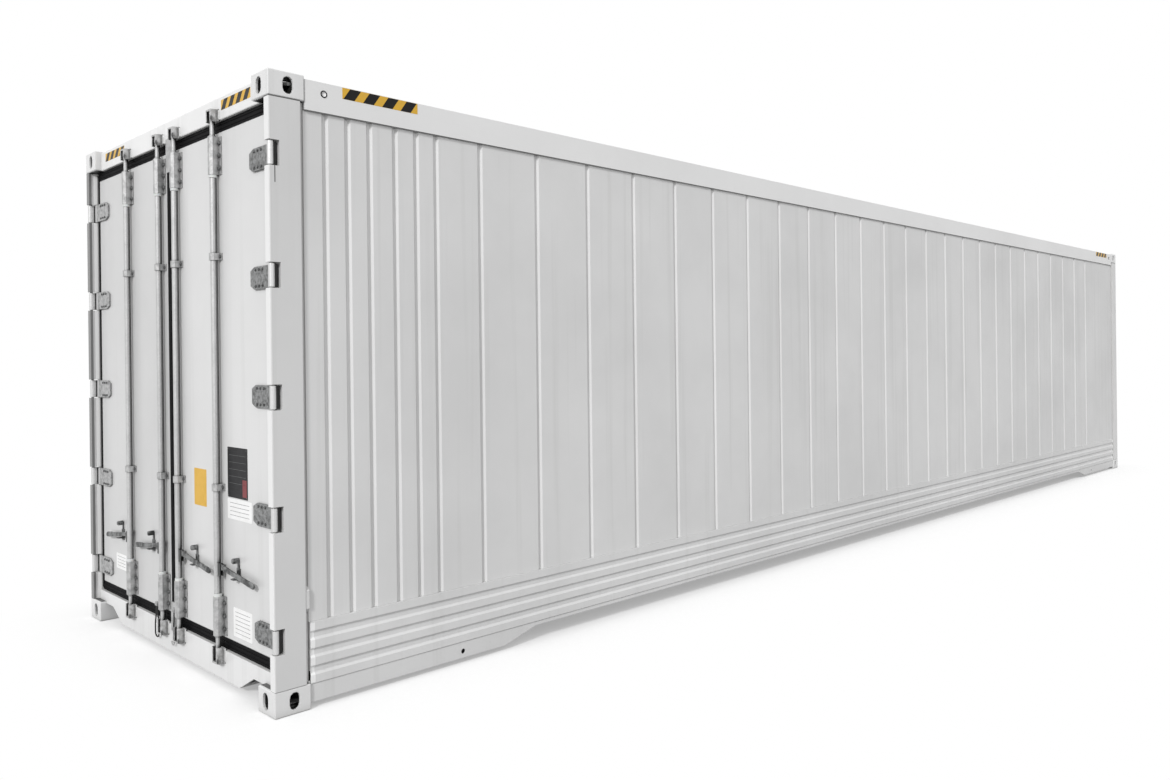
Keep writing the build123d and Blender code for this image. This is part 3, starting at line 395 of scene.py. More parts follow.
film = {name: makeMaterial(name + "FilmVinyl", {"IOR": 1.48, "Specular IOR Level": 0.25}, printedVinyl,
                           {"film": clean, "dulled": dulled, "fade": fade})
        for name, clean, dulled, fade in (
            ("amber", "#DDAE3C", "#CFA64C", 0.6), ("black", "#070707", "#151413", 0.5),
            ("white", "#F4F4F4", "#E6E6E4", 0.6), ("grey", "#8B8B8C", "#A2A2A2", 0.5),
            ("red", "#7E2F33", "#6A3A3B", 0.5))}
dataPlateBlack = makeMaterial("dataPlateAnodised", {"IOR": 1.6, "Specular IOR Level": 0.15}, anodisedPlate,
                              {"black": "#0F0F12", "dust": "#232326"})
bushNylon = makeMaterial("bushNylonMoulded", {"IOR": 1.53, "Subsurface Weight": 0.05}, mouldedNylon, {
    "nylon": "#DCDCDA", "greyed": "#AFAFAD"})
tieRope = makeMaterial("tieRopeLaid", {"IOR": 1.49, "Sheen Weight": 0.15, "Sheen Roughness": 0.6}, laidRope,
                       {"black": "#0D0D0D", "dust": "#232322"})

finishes = {
    "painted_steel": enamel["frame"], "painted_panel": enamel["panel"], "door_paint": enamel["door"],
    "lining": holdLining, "floor_aluminium": floorAluminium, "undercoat": underBitumen,
    "seal_rubber": sealRubber, "galvanised": zinc["bar"], "dark_steel": handleForging, "tie_rope": tieRope,
}
ownFinish = {  # nodes that differ from the rest of their slot, by how the node's name starts
    "hinge_blades_left": zinc["leftHinge"], "hinge_blades": zinc["hinge"], "bar_brackets": zinc["bracket"],
    "overlap_plates": zinc["bracket"], "unit_": enamel["unit"], "cam_keepers": enamel["keeper"],
    "door_header": enamel["header"], "top_side_rails": enamel["rail"], "corner_castings": enamel["casting"],
    "door_post_left": enamel["leftPost"], "bottom_side_rails": enamel["lowRail"],
    "door_sill": enamel["sill"], "door_leaf_left": enamel["leftDoor"],
}
for part in frame["record"]["subparts"]:
    name = part["node"]
    own = [finish for start, finish in ownFinish.items() if name.startswith(start)]
    slots = frame["nodes"][name].data.materials
    slots.clear()
    slots.append((own + [finishes[part["material_slot"]]])[0])


def finishPiece(name, mesh, materials, body, smooth=False, sharpAngle=35):
    # a mesh becomes a piece that rides a body, smooth apart from edges sharper than the angle
    bmesh.ops.recalc_face_normals(mesh, faces=mesh.faces)
    data = bpy.data.meshes.new(name)
    mesh.to_mesh(data)
    mesh.free()
    for material in materials:
        data.materials.append(material)
    for polygon in data.polygons:
        polygon.use_smooth = smooth
    if smooth:
        data.set_sharp_from_angle(angle=math.radians(sharpAngle))
    piece = addObject(name, data)
    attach(piece, body)
    return piece


def skinLoops(mesh, loops, materialIndex=0):
    # a closed skin over a row of rings that have equal counts of points
    rings = [[mesh.verts.new(spot) for spot in loop] for loop in loops]
    faces = [mesh.faces.new(rings[0][::-1]), mesh.faces.new(rings[-1])]
    for lower, upper in zip(rings, rings[1:]):
        for i in range(len(lower)):
            j = (i + 1) % len(lower)
            faces.append(mesh.faces.new((lower[i], lower[j], upper[j], upper[i])))
    for face in faces:
        face.material_index = materialIndex


# Tie ropes: the routes are the model's own, as (across, up) in millimetres in one upright plane.
ropeLook = {
    "diameter": 7.5, "depth": 20, "strands": 3, "lay": 24, "step": 2.5, "sides": 8,
    "spread": 0.58, "strand": 0.6,   # shares of the rope's radius
    "left": [(-199, 250), (-199, 215), (-214, 172), (-219, 128), (-217, 82),
             (-169, 80), (-165, 128), (-170, 172), (-185, 215), (-185, 250)],
    "right": [(46, 258), (46, 220), (36, 182), (38, 146), (38, 112)],
    "leftLength": 374, "rightLength": 147,
}


def ropeLine(route, depth):
    # points along a smooth NURBS line that the route's points control
    curve = bpy.data.curves.new("ropeRoute", "CURVE")
    curve.dimensions, curve.resolution_u = "3D", 16
    spline = curve.splines.new("NURBS")
    spline.points.add(len(route) - 1)
    for point, (across, up) in zip(spline.points, route):
        point.co = (across * mm, depth, up * mm, 1)
    spline.order_u = 3
    spline.use_endpoint_u = True
    holder = bpy.data.objects.new("ropeRoute", curve)
    line = bpy.data.meshes.new_from_object(holder)
    points = [vert.co.copy() for vert in line.vertices]
    bpy.data.objects.remove(holder)
    bpy.data.curves.remove(curve)
    bpy.data.meshes.remove(line)
    return points


def evenPoints(points, step):
    # the same line with its points one step apart
    reach = [0.0]
    for a, b in zip(points, points[1:]):
        reach.append(reach[-1] + (b - a).length)
    count = max(2, round(reach[-1] / step))
    spaced, k = [], 0
    for i in range(count + 1):
        want = reach[-1] * i / count
        while k < len(points) - 2 and reach[k + 1] < want:
            k += 1
        share = (want - reach[k]) / (reach[k + 1] - reach[k])
        spaced.append(points[k].lerp(points[k + 1], min(1.0, share)))
    return spaced


def makeTieRope(hand, look):
    line = evenPoints(ropeLine(look[hand], doorEnd + look["depth"] * mm), look["step"] * mm)
    radius = look["diameter"] * mm / 2
    across = Vector((0, 1, 0))  # the plane that the rope hangs in faces this way
    mesh = bmesh.new()
    for strand in range(look["strands"]):
        loops = []
        for i, spot in enumerate(line):
            ahead = (line[min(i + 1, len(line) - 1)] - line[max(i - 1, 0)]).normalized()
            beside = ahead.cross(across)
            turn = 2 * math.pi * (strand / look["strands"] + i * look["step"] / look["lay"])
            out = beside * math.cos(turn) + across * math.sin(turn)
            side = across * math.cos(turn) - beside * math.sin(turn)
            middle = spot + out * radius * look["spread"]
            loops.append([middle + (out * math.cos(a) + side * math.sin(a)) * radius * look["strand"]
                          for a in [2 * math.pi * k / look["sides"] for k in range(look["sides"])]])
        skinLoops(mesh, loops)
    piece = finishPiece(f"tieRope_{hand}", mesh, [tieRope], f"{hand}_door", smooth=True)
    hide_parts(f"tie_rope_{hand}")


makeTieRope("left", ropeLook)
makeTieRope("right", ropeLook)
print("tie ropes")

# A face of the container gives the directions of a piece on it: u across, v up, w outwards.
facings = {
    "door": Matrix(((1, 0, 0), (0, 0, -1), (0, 1, 0))),
    "side": Matrix(((0, 0, 1), (1, 0, 0), (0, 1, 0))),
    "farSide": Matrix(((0, 0, -1), (-1, 0, 0), (0, 1, 0))),
    "unit": Matrix(((-1, 0, 0), (0, 0, 1), (0, 1, 0))),
    "upright": Matrix(((1, 0, 0), (0, 1, 0), (0, 0, 1))),
}
longSides = (("side", 1), ("farSide", -1))


def onFace(facing, place):
    return Matrix.Translation(place) @ facings[facing].to_4x4()


def metres(look, *names):
    return [look[name] * mm for name in names]


def solidBoxes(nodeName):
    # the lowest and highest corner of each solid in a CAD node
    mesh = bmesh.new()
    mesh.from_mesh(frame["nodes"][nodeName].data)
    bmesh.ops.remove_doubles(mesh, verts=mesh.verts, dist=1e-5)
    left = set(mesh.verts)
    boxes = []
    while left:
        found, edge = set(), {left.pop()}
        while edge:
            vert = edge.pop()
            found.add(vert)
            edge |= {e.other_vert(vert) for e in vert.link_edges} - found
        left -= found
        spots = [v.co for v in found]
        boxes.append([Vector([pick(s[i] for s in spots) for i in range(3)]) for pick in (min, max)])
    mesh.free()
    return sorted(boxes, key=lambda box: (round(box[0].z, 3), round(box[0].x, 3), round(box[0].y, 3)))


def addPrism(mesh, outline, low, high, matrix, materialIndex=0, ease=0.0):
    # an outline in u and v raised from low to high along w, with its outer edge eased
    middle = Vector((sum(p[0] for p in outline), sum(p[1] for p in outline))) / len(outline)
    rings = [(low, 1.0), (high, 1.0)]
    if ease:
        size = max((Vector(p) - middle).length for p in outline)
        rings = [(low, 1.0), (high - ease, 1.0), (high, 1 - ease / size)]
    skinLoops(mesh, [[matrix @ Vector((middle.x + (u - middle.x) * shrink,
                                       middle.y + (v - middle.y) * shrink, w))
                      for u, v in outline] for w, shrink in rings], materialIndex)


def disc(radius, count, turn=0.0):
    # the outline of a circle centred on zero
    angles = [turn + 2 * math.pi * i / count for i in range(count)]
    return [(radius * math.cos(a), radius * math.sin(a)) for a in angles]


def roundedBox(width, height, radius, steps=4):
    # the outline of a plate centred on zero, with rounded corners
    points = []
    for cx, cy, start in ((1, 1, 0), (-1, 1, 90), (-1, -1, 180), (1, -1, 270)):
        for i in range(steps + 1):
            turn = math.radians(start + 90 * i / steps)
            points.append((cx * (width / 2 - radius) + radius * math.cos(turn),
                           cy * (height / 2 - radius) + radius * math.sin(turn)))
    return points


def addLathe(mesh, profile, matrix, count=24, materialIndex=0):
    # a profile of (radius, height) turned round w, closed at both ends
    skinLoops(mesh, [[matrix @ Vector((u, v, height)) for u, v in disc(radius, count)]
                     for radius, height in profile], materialIndex)


def addRing(mesh, profile, matrix, count=32):
    # a closed profile of (radius, height) turned round w into a ring
    rings = [[mesh.verts.new(matrix @ Vector((r * math.cos(a), r * math.sin(a), h))) for r, h in profile]
             for a in [2 * math.pi * i / count for i in range(count)]]
    for i, ring in enumerate(rings):
        after = rings[(i + 1) % count]
        for j in range(len(ring)):
            k = (j + 1) % len(ring)
            mesh.faces.new((ring[j], after[j], after[k], ring[k]))


boltLook = {
    # across flats, head height, washer across, washer height, in mm
    "large": (16, 6, 21, 1.8),
    "small": (11, 4, 15, 1.2),
    "cover": (10, 4, 18, 1.2),
    "washerEase": 0.3, "headEase": 0.18,    # shares of the washer's and the head's height
    "thread": 0.27, "threadUp": 1.3, "threadEase": 0.1,    # shares of the flats, then of the head's height
}


def addBolt(mesh, matrix, kind):
    # a hexagon head on a round washer, each turned a little differently, with its thread end showing
    look = boltLook
    flats, head, washer, washerTall = (size * mm for size in look[kind])
    turn = random.uniform(0, math.pi / 3)
    top = washerTall + head
    tip = washerTall + head * look["threadUp"]
    addPrism(mesh, disc(washer / 2, count=20), 0, washerTall, matrix, ease=washerTall * look["washerEase"])
    hexagon, thread = disc(flats / math.sqrt(3), 6, turn), disc(flats * look["thread"], 12, turn)
    addPrism(mesh, hexagon, washerTall, top, matrix, ease=head * look["headEase"])
    addPrism(mesh, thread, top, tip, matrix, ease=head * look["threadEase"])


furnitureLook = {  # where the bolts of the doors' brackets, hinges and catches sit, in mm
    "eyeWide": 60,      # a narrower solid is the eye that a tie rope hangs from, and has no bolts
    "longTall": 100, "longShares": (0.17, 0.5, 0.83), "bracketIn": 12.5, "bracketPlate": 4,
    "bladeIn": (52, 86, 120), "bladeUp": 38, "bladePlate": 10,
    "catchAside": 10, "catchUp": 10, "catchPlate": 5,
}


def boltDoorFurniture(hand, look):
    sign = 1 if hand == "right" else -1
    mesh = bmesh.new()
    for low, high in solidBoxes(f"bar_brackets_{hand}"):
        tall, wide = high.z - low.z, high.x - low.x
        if wide < look["eyeWide"] * mm:
            continue
        isLong = tall > look["longTall"] * mm
        front = high.y - look["bracketPlate"] * mm
        heights = [(low.z + high.z) / 2]
        if isLong:
            heights = [low.z + tall * share for share in look["longShares"]]
        for way in (-1, 1):
            across = (low.x + high.x) / 2 + way * (wide / 2 - look["bracketIn"] * mm)
            for height in heights:
                addBolt(mesh, onFace("door", (across, front, height)), "large" if isLong else "small")
    for low, high in solidBoxes(f"hinge_blades_{hand}"):
        inner = low.x if hand == "right" else high.x
        for reach in look["bladeIn"]:
            for way in (-1, 1):
                spot = (inner + sign * reach * mm, high.y - look["bladePlate"] * mm,
                        (low.z + high.z) / 2 + way * look["bladeUp"] * mm)
                addBolt(mesh, onFace("door", spot), "small")
    for low, high in solidBoxes(f"handle_retainers_{hand}"):
        for way in (-1, 1):
            spot = ((low.x + high.x) / 2 + way * look["catchAside"] * mm, high.y - look["catchPlate"] * mm,
                    low.z + look["catchUp"] * mm)
            addBolt(mesh, onFace("door", spot), "small")
    finishPiece(f"doorBolts_{hand}", mesh, [zinc["bolt"]], f"{hand}_door")


bushLook = {"inner": 17.3, "outer": 19.6, "past": 15, "ease": 1.2}


def makeBushes(hand, look):
    # a nylon bush stands out of the inward end of each long bracket
    inner, outer, past, ease = metres(look, "inner", "outer", "past", "ease")
    barLow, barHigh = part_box(f"lock_bar_{hand}_inner")
    depth = (barLow.y + barHigh.y) / 2
    mesh = bmesh.new()
    for low, high in solidBoxes(f"bar_brackets_{hand}"):
        if high.z - low.z < furnitureLook["longTall"] * mm:
            continue
        seat, way = (high.z, 1) if low.z < cadHigh.z / 2 else (low.z, -1)
        profile = [(inner, 0), (outer, 0), (outer, way * (past - ease)), (outer - ease, way * past),
                   (inner, way * past)]
        addRing(mesh, profile, onFace("upright", ((low.x + high.x) / 2, depth, seat)))
    finishPiece(f"barBushes_{hand}", mesh, [bushNylon], f"{hand}_door", smooth=True)


lipLook = {
    "wide": 5, "tall": 4, "seat": 0.4, "insets": (14, 34),
    "squeeze": 0.55,    # how much nearer the rings lie on the hinge side
    "section": ((-0.5, False), (-0.3, True), (0.3, True), (0.5, False)),    # share of wide, and if on top
    # strips on the left leaf: from and to across, then how far they stand out, in mm; black rubber that
    # partly stands in for shade in the gaps at the leaf's edges
    "strips": ((-50, -14), (-1144, -1116)), "proud": 2.2, "stripEase": 2, "stripSeat": 0.3, "stripEnd": 4,
}


def makeSealLips(hand, look):
    # ridges moulded along the seal, one ring inside another, round the leaf's three outer sides
    low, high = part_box(f"door_gasket_{hand}")
    leafLow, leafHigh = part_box(f"door_leaf_{hand}")
    isRight = hand == "right"
    sign, outer, free = (1, high.x, leafLow.x) if isRight else (-1, low.x, leafHigh.x)
    wide, tall, seat = metres(look, "wide", "tall", "seat")
    mesh = bmesh.new()
    for inset in look["insets"]:
        edge = outer - sign * inset * mm * look["squeeze"]
        bottom, top = low.z + inset * mm, high.z - inset * mm
        loops = []
        for i, (x, z) in enumerate([(free, bottom), (edge, bottom), (edge, top), (free, top)]):
            lean = sign if 0 < i < 3 else 0
            drop = -1 if i < 2 else 1
            loops.append([Vector((x + lean * wide * step, low.y + (-tall if onTop else seat),
                                  z + drop * wide * step)) for step, onTop in look["section"]])
        skinLoops(mesh, loops)
    if not isRight:  # a flat black lip along each upright edge, partly a dark stand-in for the shade in the gap beside it
        ease, proud, end = metres(look, "stripEase", "proud", "stripEnd")
        face = leafLow.y + look["stripSeat"] * mm
        for left, right in look["strips"]:
            left, right = left * mm, right * mm
            outline = [(left, 0), (left + ease, proud), (right - ease, proud), (right, 0)]
            skinLoops(mesh, [[Vector((x, face - rise, z)) for x, rise in outline]
                             for z in (leafLow.z + end, leafHigh.z - end)])
    finishPiece(f"sealLips_{hand}", mesh, [sealRubber], f"{hand}_door")


gripLook = {
    "long": 118, "half": 15, "thick": 6.5, "tip": 7, "tipUp": 11,
    "slope": 0.124,     # how far the grip rises for each unit away from its tip
    "swell": ((0, 0.72), (0.04, 0.92), (0.12, 1), (0.7, 1), (0.88, 0.82), (1, 0.6)),    # along, and size
    "boss": ((13, 0), (13, 1.5), (10.5, 3)), "bossIn": 12, "bossDown": 17,
    "capWide": 18, "capTall": 26, "capRound": 6, "capBack": 4, "capPast": 1, "capShort": 3, "capEase": 5,
}


def forgeHandles(hand, look):
    # the thick grip forged at each handle's end, a boss at its pin, and a rounded cap on each catch
    sign = 1 if hand == "right" else -1
    half, thick = metres(look, "half", "thick")
    for place in ("inner", "outer"):
        low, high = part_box(f"handle_{hand}_{place}")
        tip, root = (high.x, low.x) if hand == "right" else (low.x, high.x)
        depth, centre = (low.y + high.y) / 2, low.z + look["tipUp"] * mm
        mesh = bmesh.new()
        loops = []
        for share, swell in look["swell"]:
            along = (look["tip"] + share * look["long"]) * mm
            loops.append([Vector((tip - sign * along, depth + v * thick / half * swell,
                                  centre + along * look["slope"] + u * swell))
                          for u, v in disc(half, count=12)])
        skinLoops(mesh, loops)
        pin = onFace("door", (root + sign * look["bossIn"] * mm, low.y, high.z - look["bossDown"] * mm))
        addLathe(mesh, [(radius * mm, rise * mm) for radius, rise in look["boss"]], pin, count=20)
        finishPiece(f"handleForging_{hand}_{place}", mesh, [handleForging], f"{hand}_{place}_handle",
                    smooth=True)
    mesh = bmesh.new()
    outline = roundedBox(*metres(look, "capWide", "capTall", "capRound"))
    for low, high in solidBoxes(f"handle_retainers_{hand}"):
        up = high.z - look["capTall"] / 2 * mm + look["capPast"] * mm
        back = onFace("door", ((low.x + high.x) / 2, high.y - look["capBack"] * mm, up))
        deep = high.y - low.y - look["capShort"] * mm
        addPrism(mesh, outline, 0, deep, back, ease=look["capEase"] * mm)
    finishPiece(f"catchTops_{hand}", mesh, [handleForging], f"{hand}_door", smooth=True)


for hand in ("left", "right"):
    forgeHandles(hand, gripLook)
    boltDoorFurniture(hand, furnitureLook)
    makeBushes(hand, bushLook)
    makeSealLips(hand, lipLook)
print("handle grips, bolts, bushes and seal lips")

weldLook = {
    "half": 4, "tall": 3, "ripple": 5, "sides": 4, "short": 4, "sunk": 1,
    "swell": (0.85, 1.12), "end": 0.4,      # the bead's size along its run, and at its two ends
}


def addBead(mesh, start, end, out, look):
    # a half-round run of weld from start to end that faces out, swelling a little at each ripple
    run = end - start
    across = run.normalized().cross(out)
    steps = max(3, round(run.length / (look["ripple"] * mm)))
    angles = [math.pi * k / look["sides"] for k in range(look["sides"] + 1)]
    loops = []
    for i in range(steps + 1):
        swell = random.uniform(*look["swell"]) if 0 < i < steps else look["end"]
        loops.append([start + run * i / steps + across * look["half"] * mm * swell * math.cos(turn)
                      + out * look["tall"] * mm * swell * math.sin(turn) for turn in angles])
    skinLoops(mesh, loops)


def keeperBoxes():
    return [box for level in ("lower", "upper") for box in solidBoxes(f"cam_keepers_{level}")]


def weldKeepers(look):
    # each keeper's feet are welded up both sides to the sill or the header
    sunk, short = metres(look, "sunk", "short")
    mesh = bmesh.new()
    for low, high in keeperBoxes():
        for across, way in ((low.x, -1), (high.x, 1)):
            start, end = (Vector((across, high.y - sunk, up)) for up in (low.z + short, high.z - short))
            addBead(mesh, start, end, Vector((way, -1, 0)).normalized(), look)
    finishPiece("keeperWelds", mesh, [enamel["frame"]], "container", smooth=True)


pinLook = {
    "radius": 12, "tall": 5, "in": 10, "up": 15, "sunk": 0.1,
    "room": 0.2,    # left before the container's outline
    "dome": ((1, 0), (0.95, 0.5), (0.7, 1)),    # shares of its radius and its height
}


def pinKeepers(look):
    # the head of the pin that fixes each keeper, low on its outer corner
    radius, most, inset, up, sunk, room = metres(look, "radius", "tall", "in", "up", "sunk", "room")
    mesh = bmesh.new()
    for low, high in keeperBoxes():
        tall = min(most, low.y - doorEnd - room)
        place = onFace("door", (high.x - inset, low.y - sunk, low.z + up))
        addLathe(mesh, [(radius * share, tall * rise) for share, rise in look["dome"]], place, count=18)
    finishPiece("keeperPins", mesh, [pinForging], "container", smooth=True)


weldKeepers(weldLook)
pinKeepers(pinLook)
print("keeper welds and pins")

stripeLook = {
    "thick": 0.6, "barThick": 0.2, "round": 2, "barInset": 0.3, "endInset": 0.5,
    "lean": 0.7, "blackShare": 0.56,     # a bar's lean for each unit of height, and its share of the pitch
    "header": {"span": (659, 975), "rise": (2820, 2869), "bars": 4},
    "side": {"span": (376, 801), "rise": (2827, 2880), "bars": 4},
}


def addStripes(mesh, base, width, height, bars, look):
    # an amber strip with leaning black bars laid on it, cut off square at its ends
    thick, barThick, corner, barInset, endInset = metres(
        look, "thick", "barThick", "round", "barInset", "endInset")
    addPrism(mesh, roundedBox(width, height, corner, steps=2), 0, thick, base)
    pitch = width / bars
    half, limit = height / 2 - barInset, width / 2 - endInset
    shift = look["lean"] * half
    for i in range(bars):
        at, wide = -width / 2 + pitch * (i + 0.5), pitch * look["blackShare"] / 2
        bar = [(at - wide - shift, -half), (at + wide - shift, -half), (at + wide + shift, half),
               (at - wide + shift, half)]
        bar = [(max(-limit, min(limit, u)), v) for u, v in bar]
        addPrism(mesh, bar, thick, thick + barThick, base, 1)


def makeStripes(look):
    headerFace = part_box("door_header")[0].y
    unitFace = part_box("front_header")[1].y
    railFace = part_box("top_side_rails")[1].x
    mesh = bmesh.new()
    for key in ("header", "side"):
        (near, far), (low, high), bars = (look[key][name] for name in ("span", "rise", "bars"))
        middle, up = (near + far) / 2 * mm, (low + high) / 2 * mm
        size = ((far - near) * mm, (high - low) * mm, bars, look)
        if key == "header":
            for way in (-1, 1):
                addStripes(mesh, onFace("door", (way * middle, headerFace, up)), *size)
                addStripes(mesh, onFace("unit", (way * middle, unitFace, up)), *size)
        else:
            for along in (doorEnd + middle, frontEnd - middle):
                for facing, way in longSides:
                    addStripes(mesh, onFace(facing, (way * railFace, along, up)), *size)
    finishPiece("hazardStripes", mesh, [film["amber"], film["black"]], "container")


makeStripes(stripeLook)
print("hazard stripes")

plateLook = {  # centre across and up, width and height, in mm
    "dataPlate": {
        "at": (769.5, 1056), "size": (213, 244), "thick": 1.6, "round": 5, "ease": 0.3, "relief": 0.3,
        "rivetIn": 9, "rivet": ((3.4, 0), (3.2, 0.8), (2.2, 1.6), (0.8, 1.9)),
        "rules": 5, "ruleTop": 38, "rulePitch": 34, "ruleShort": 34, "ruleTall": 1.2, "ruleRound": 0.4,
        "patchAt": (30, 52), "patch": (44, 82), "patchRound": 2,
    },
    "whitePanel": {"at": (786, 878), "size": (258, 99), "rules": 4},
    "amberPanel": {"at": (337, 950), "size": (150, 190), "rules": 0},
    "lowSticker": {"at": (806, 332), "size": (198, 140), "rules": 6},
    "leftSticker": {"at": (-817, 397), "size": (165, 92), "rules": 4},
}
filmLook = {
    "thick": 0.4, "round": 6, "ease": 0.15,
    "ruleLong": 0.8, "ruleTall": 2.5, "ruleRound": 1, "ruleThick": 0.1,     # long is a share of the width
}


def placeOf(plate):
    # a plate's place on the leaf, its width and its height
    across, up, width, height = (size * mm for size in plate["at"] + plate["size"])
    return onFace("door", (across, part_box("door_leaf_right")[0].y, up)), width, height


def addSticker(mesh, plate, look, tint, ruleTint):
    # a thin film with rounded corners and plain ruled lines
    base, width, height = placeOf(plate)
    thick, corner, ease = metres(look, "thick", "round", "ease")
    addPrism(mesh, roundedBox(width, height, corner, steps=3), 0, thick, base, tint, ease)
    for row in range(plate["rules"]):
        rise = height * (0.5 - (row + 1) / (plate["rules"] + 1))
        rule = roundedBox(width * look["ruleLong"], *metres(look, "ruleTall", "ruleRound"), steps=1)
        addPrism(mesh, rule, thick, thick + look["ruleThick"] * mm,
                 base @ Matrix.Translation((0, rise, 0)), ruleTint)


def makeDataPlate(look):
    # a blank riveted plate with plain raised rules and one red patch
    base, width, height = placeOf(look)
    thick, relief, corner, ease, inset = metres(look, "thick", "relief", "round", "ease", "rivetIn")
    raised = thick + relief
    mesh = bmesh.new()
    addPrism(mesh, roundedBox(width, height, corner), 0, thick, base, 0, ease)
    for u in (-1, 1):
        for v in (-1, 1):
            rivet = base @ Matrix.Translation((u * (width / 2 - inset), v * (height / 2 - inset), thick))
            addLathe(mesh, [(radius * mm, rise * mm) for radius, rise in look["rivet"]], rivet, count=12,
                     materialIndex=1)
    rule = roundedBox(width - look["ruleShort"] * mm, *metres(look, "ruleTall", "ruleRound"), steps=1)
    for row in range(look["rules"]):
        up = height / 2 - (look["ruleTop"] + row * look["rulePitch"]) * mm
        addPrism(mesh, rule, thick, raised, base @ Matrix.Translation((0, up, 0)), 1)
    aside, up = (size * mm for size in look["patchAt"])
    patch = roundedBox(look["patch"][0] * mm, look["patch"][1] * mm, look["patchRound"] * mm, steps=2)
    patchBase = base @ Matrix.Translation((width / 2 - aside, -height / 2 + up, 0))
    addPrism(mesh, patch, thick, raised, patchBase, 2)
    finishPiece("dataPlateBlank", mesh, [dataPlateBlack, zinc["bolt"], film["red"]], "right_door")


def makePlates(look, stickerLook):
    makeDataPlate(look["dataPlate"])
    for hand, keys in (("right", ("whitePanel", "amberPanel", "lowSticker")), ("left", ("leftSticker",))):
        mesh = bmesh.new()
        for key in keys:
            addSticker(mesh, look[key], stickerLook, 1 if key == "amberPanel" else 0, 2)
        finishPiece(f"doorStickers_{hand}", mesh, [film["white"], film["amber"], film["grey"]],
                    f"{hand}_door")


makePlates(plateLook, filmLook)
print("plates and stickers")

plugLook = {
    "fromEnd": 279, "up": 2830, "radius": 17, "rim": 5, "tall": 2.2,
    "rimSide": 0.7, "rimTop": 0.4,      # shares of tall and of rim where the rim's outer edge is eased
    "capSide": 0.6, "dish": ((0.6, 0.25), (0.1, 0.2)),     # shares of tall, and of radius and tall
    "drainFromEnd": 1054, "drainUp": 62, "drainRadius": 12.6, "drainBack": 11, "drainHalf": 1,
}


def makeRailPlugs(look):
    # a dished plug in each end of both top rails, where the foam went in, and a black bung deep in each
    # drain hole: painted shade
    radius, rim, tall = metres(look, "radius", "rim", "tall")
    ring = [(radius, 0), (radius, tall * look["rimSide"]), (radius - rim * look["rimTop"], tall),
            (radius - rim, tall), (radius - rim, 0)]
    cap = [(radius - rim, 0), (radius - rim, tall * look["capSide"])]
    cap += [(radius * out, tall * up) for out, up in look["dish"]]
    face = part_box("top_side_rails")[1].x
    mesh = bmesh.new()
    fromEnd, up, drainFromEnd, drainUp, drain, back, half = metres(
        look, "fromEnd", "up", "drainFromEnd", "drainUp", "drainRadius", "drainBack", "drainHalf")
    for along in (doorEnd + fromEnd, frontEnd - fromEnd):
        for facing, way in longSides:
            base = onFace(facing, (way * face, along, up))
            addRing(mesh, ring, base)
            addLathe(mesh, cap, base, materialIndex=1)
    # a black disc set back in each drain hole, standing in for the shade inside it
    for along in (doorEnd + drainFromEnd, frontEnd - drainFromEnd):
        for facing, way in longSides:
            base = onFace(facing, (way * (face - back), along, drainUp))
            addLathe(mesh, [(drain, -half), (drain, half), (drain / 2, half)], base)
    finishPiece("railPlugs", mesh, [sealRubber, enamel["header"]], "container", smooth=True)


coverLook = {"inset": 16, "pitch": 235}


def boltCovers(look):
    # fixing bolts round the edge of each cover at the machinery end
    mesh = bmesh.new()
    for low, high in solidBoxes("unit_covers"):
        inset = look["inset"] * mm
        xs, zs = (low.x + inset, high.x - inset), (low.z + inset, high.z - inset)
        for (start, end), fixed, upright in ((xs, zs, False), (zs, xs, True)):
            count = round((end - start) / (look["pitch"] * mm))
            for i in range(upright, count + 1 - upright):
                along = start + (end - start) * i / count
                for other in fixed:
                    spot = (other, high.y, along) if upright else (along, high.y, other)
                    addBolt(mesh, onFace("unit", spot), "cover")
    finishPiece("coverBolts", mesh, [zinc["bolt"]], "container")


makeRailPlugs(plugLook)
boltCovers(coverLook)
print("rail plugs and cover bolts")

studioLook = {
    "sky": 0.66,
    "sunFrom": (0.34, -0.80, 0.50), "sun": 2.0, "sunSize": 9,
    "boxAt": (11.0, -6.5, 6.0), "boxAim": (1.2, -2.5, 1.2), "boxSize": 6.0, "boxPower": 130,
    "floor": "#A8A8A8", "seenFloor": "#FFFFFF",     # as it lights, and as it is seen
    "floorHalf": 150, "fadeStart": -0.4, "fadeEnd": 0.6,
}


def seenRays(tree, names):
    # one on any of the named kinds of ray
    rays = addNode(tree, "LightPath")
    seen = rays.outputs[names[0]]
    for name in names[1:]:
        seen = addNode(tree, "Math", {"operation": "MAXIMUM"}, {0: seen, 1: rays.outputs[name]})
    return seen


def addLamp(name, kind, settings, place, aim):
    lamp = bpy.data.lights.new(name, kind)
    for key, value in settings.items():
        setattr(lamp, key, value)
    holder = addObject(name, lamp)
    holder.location = place
    holder.rotation_mode = "QUATERNION"
    holder.rotation_quaternion = (Vector(aim) - Vector(place)).to_track_quat("-Z", "Y")


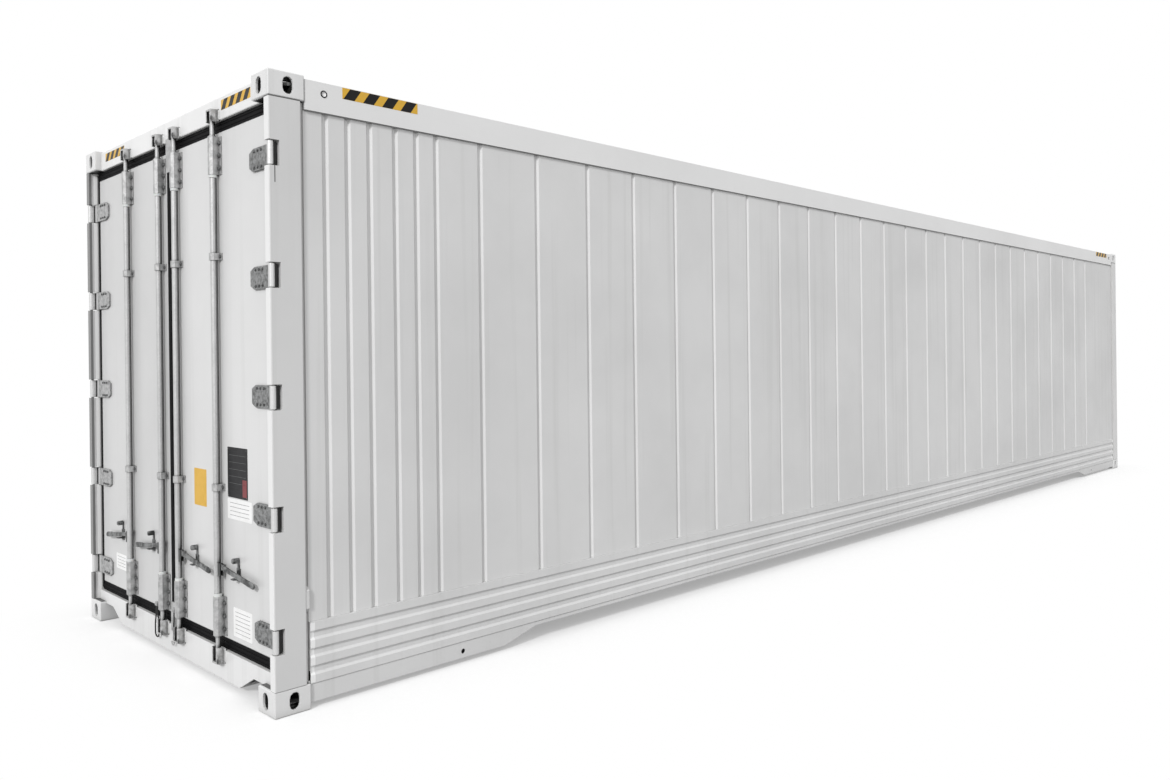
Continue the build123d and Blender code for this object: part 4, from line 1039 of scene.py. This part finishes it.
def makeFloor(look):
    # pale floor: keeps the soft shadow by the container and fades to plain white further out
    mesh = bmesh.new()
    bmesh.ops.create_grid(mesh, x_segments=1, y_segments=1, size=look["floorHalf"])
    data = bpy.data.meshes.new("studioFloor")
    mesh.to_mesh(data)
    mesh.free()
    floor = addObject("studioFloor", data)
    floor.location.z = -mm  # just under the castings' feet
    material = bpy.data.materials.new("paleFloor")
    material.use_nodes = True
    tree = material.node_tree
    tree.nodes.clear()
    axes = addNode(tree, "SeparateXYZ", None, {0: addNode(tree, "NewGeometry")})
    beyond = []
    for axis, half in (("X", cadHigh.x), ("Y", cadHigh.y)):
        size = addNode(tree, "Math", {"operation": "ABSOLUTE"}, {0: axes.outputs[axis]})
        past = addNode(tree, "Math", {"operation": "SUBTRACT", 1: half}, {0: size})
        beyond.append(addNode(tree, "Math", {"operation": "MAXIMUM", 1: 0.0}, {0: past}))
    place = addNode(tree, "CombineXYZ", None, {0: beyond[0], 1: beyond[1]})
    away = addNode(tree, "VectorMath", {"operation": "LENGTH"}, {0: place})
    fading = dict(ramp((look["fadeStart"], look["fadeEnd"]), 0, 1), interpolation_type="SMOOTHSTEP")
    fade = addNode(tree, "MapRange", fading, {"Value": away.outputs["Value"]})
    share = addNode(tree, "Math", {"operation": "MULTIPLY"},
                    {0: fade, 1: seenRays(tree, ("Is Camera Ray", "Is Glossy Ray"))})
    shade = addNode(tree, "MixRGB", {"Color1": linear(look["floor"]), "Color2": linear(look["seenFloor"])},
                    {"Fac": seenRays(tree, ("Is Camera Ray",))})
    matt = addNode(tree, "BsdfDiffuse", None, {"Color": shade})
    white = addNode(tree, "Emission", {"Strength": 1.0})
    mixed = addNode(tree, "MixShader", None, {0: share, 1: matt, 2: white})
    addNode(tree, "OutputMaterial", None, {"Surface": mixed})
    data.materials.append(material)


def makeStudio(look):
    world = bpy.data.worlds.new("studioSky")
    bpy.context.scene.world = world
    world.use_nodes = True
    tree = world.node_tree
    tree.nodes.clear()
    lit = addNode(tree, "Background", {"Color": (1, 1, 1, 1), "Strength": look["sky"]})
    white = addNode(tree, "Background", {"Color": (1, 1, 1, 1), "Strength": 1.0})
    seen = seenRays(tree, ("Is Camera Ray", "Is Glossy Ray", "Is Transmission Ray"))
    mixed = addNode(tree, "MixShader", None, {0: seen, 1: lit, 2: white})
    addNode(tree, "OutputWorld", None, {"Surface": mixed})
    addLamp("softSun", "SUN", {"energy": look["sun"], "angle": math.radians(look["sunSize"])},
            look["sunFrom"], (0, 0, 0))
    addLamp("nearSoftbox", "AREA", {"energy": look["boxPower"], "size": look["boxSize"]},
            look["boxAt"], look["boxAim"])
    makeFloor(look)
    bpy.context.scene.view_settings.view_transform = "Standard"


makeStudio(studioLook)
print("studio lit")
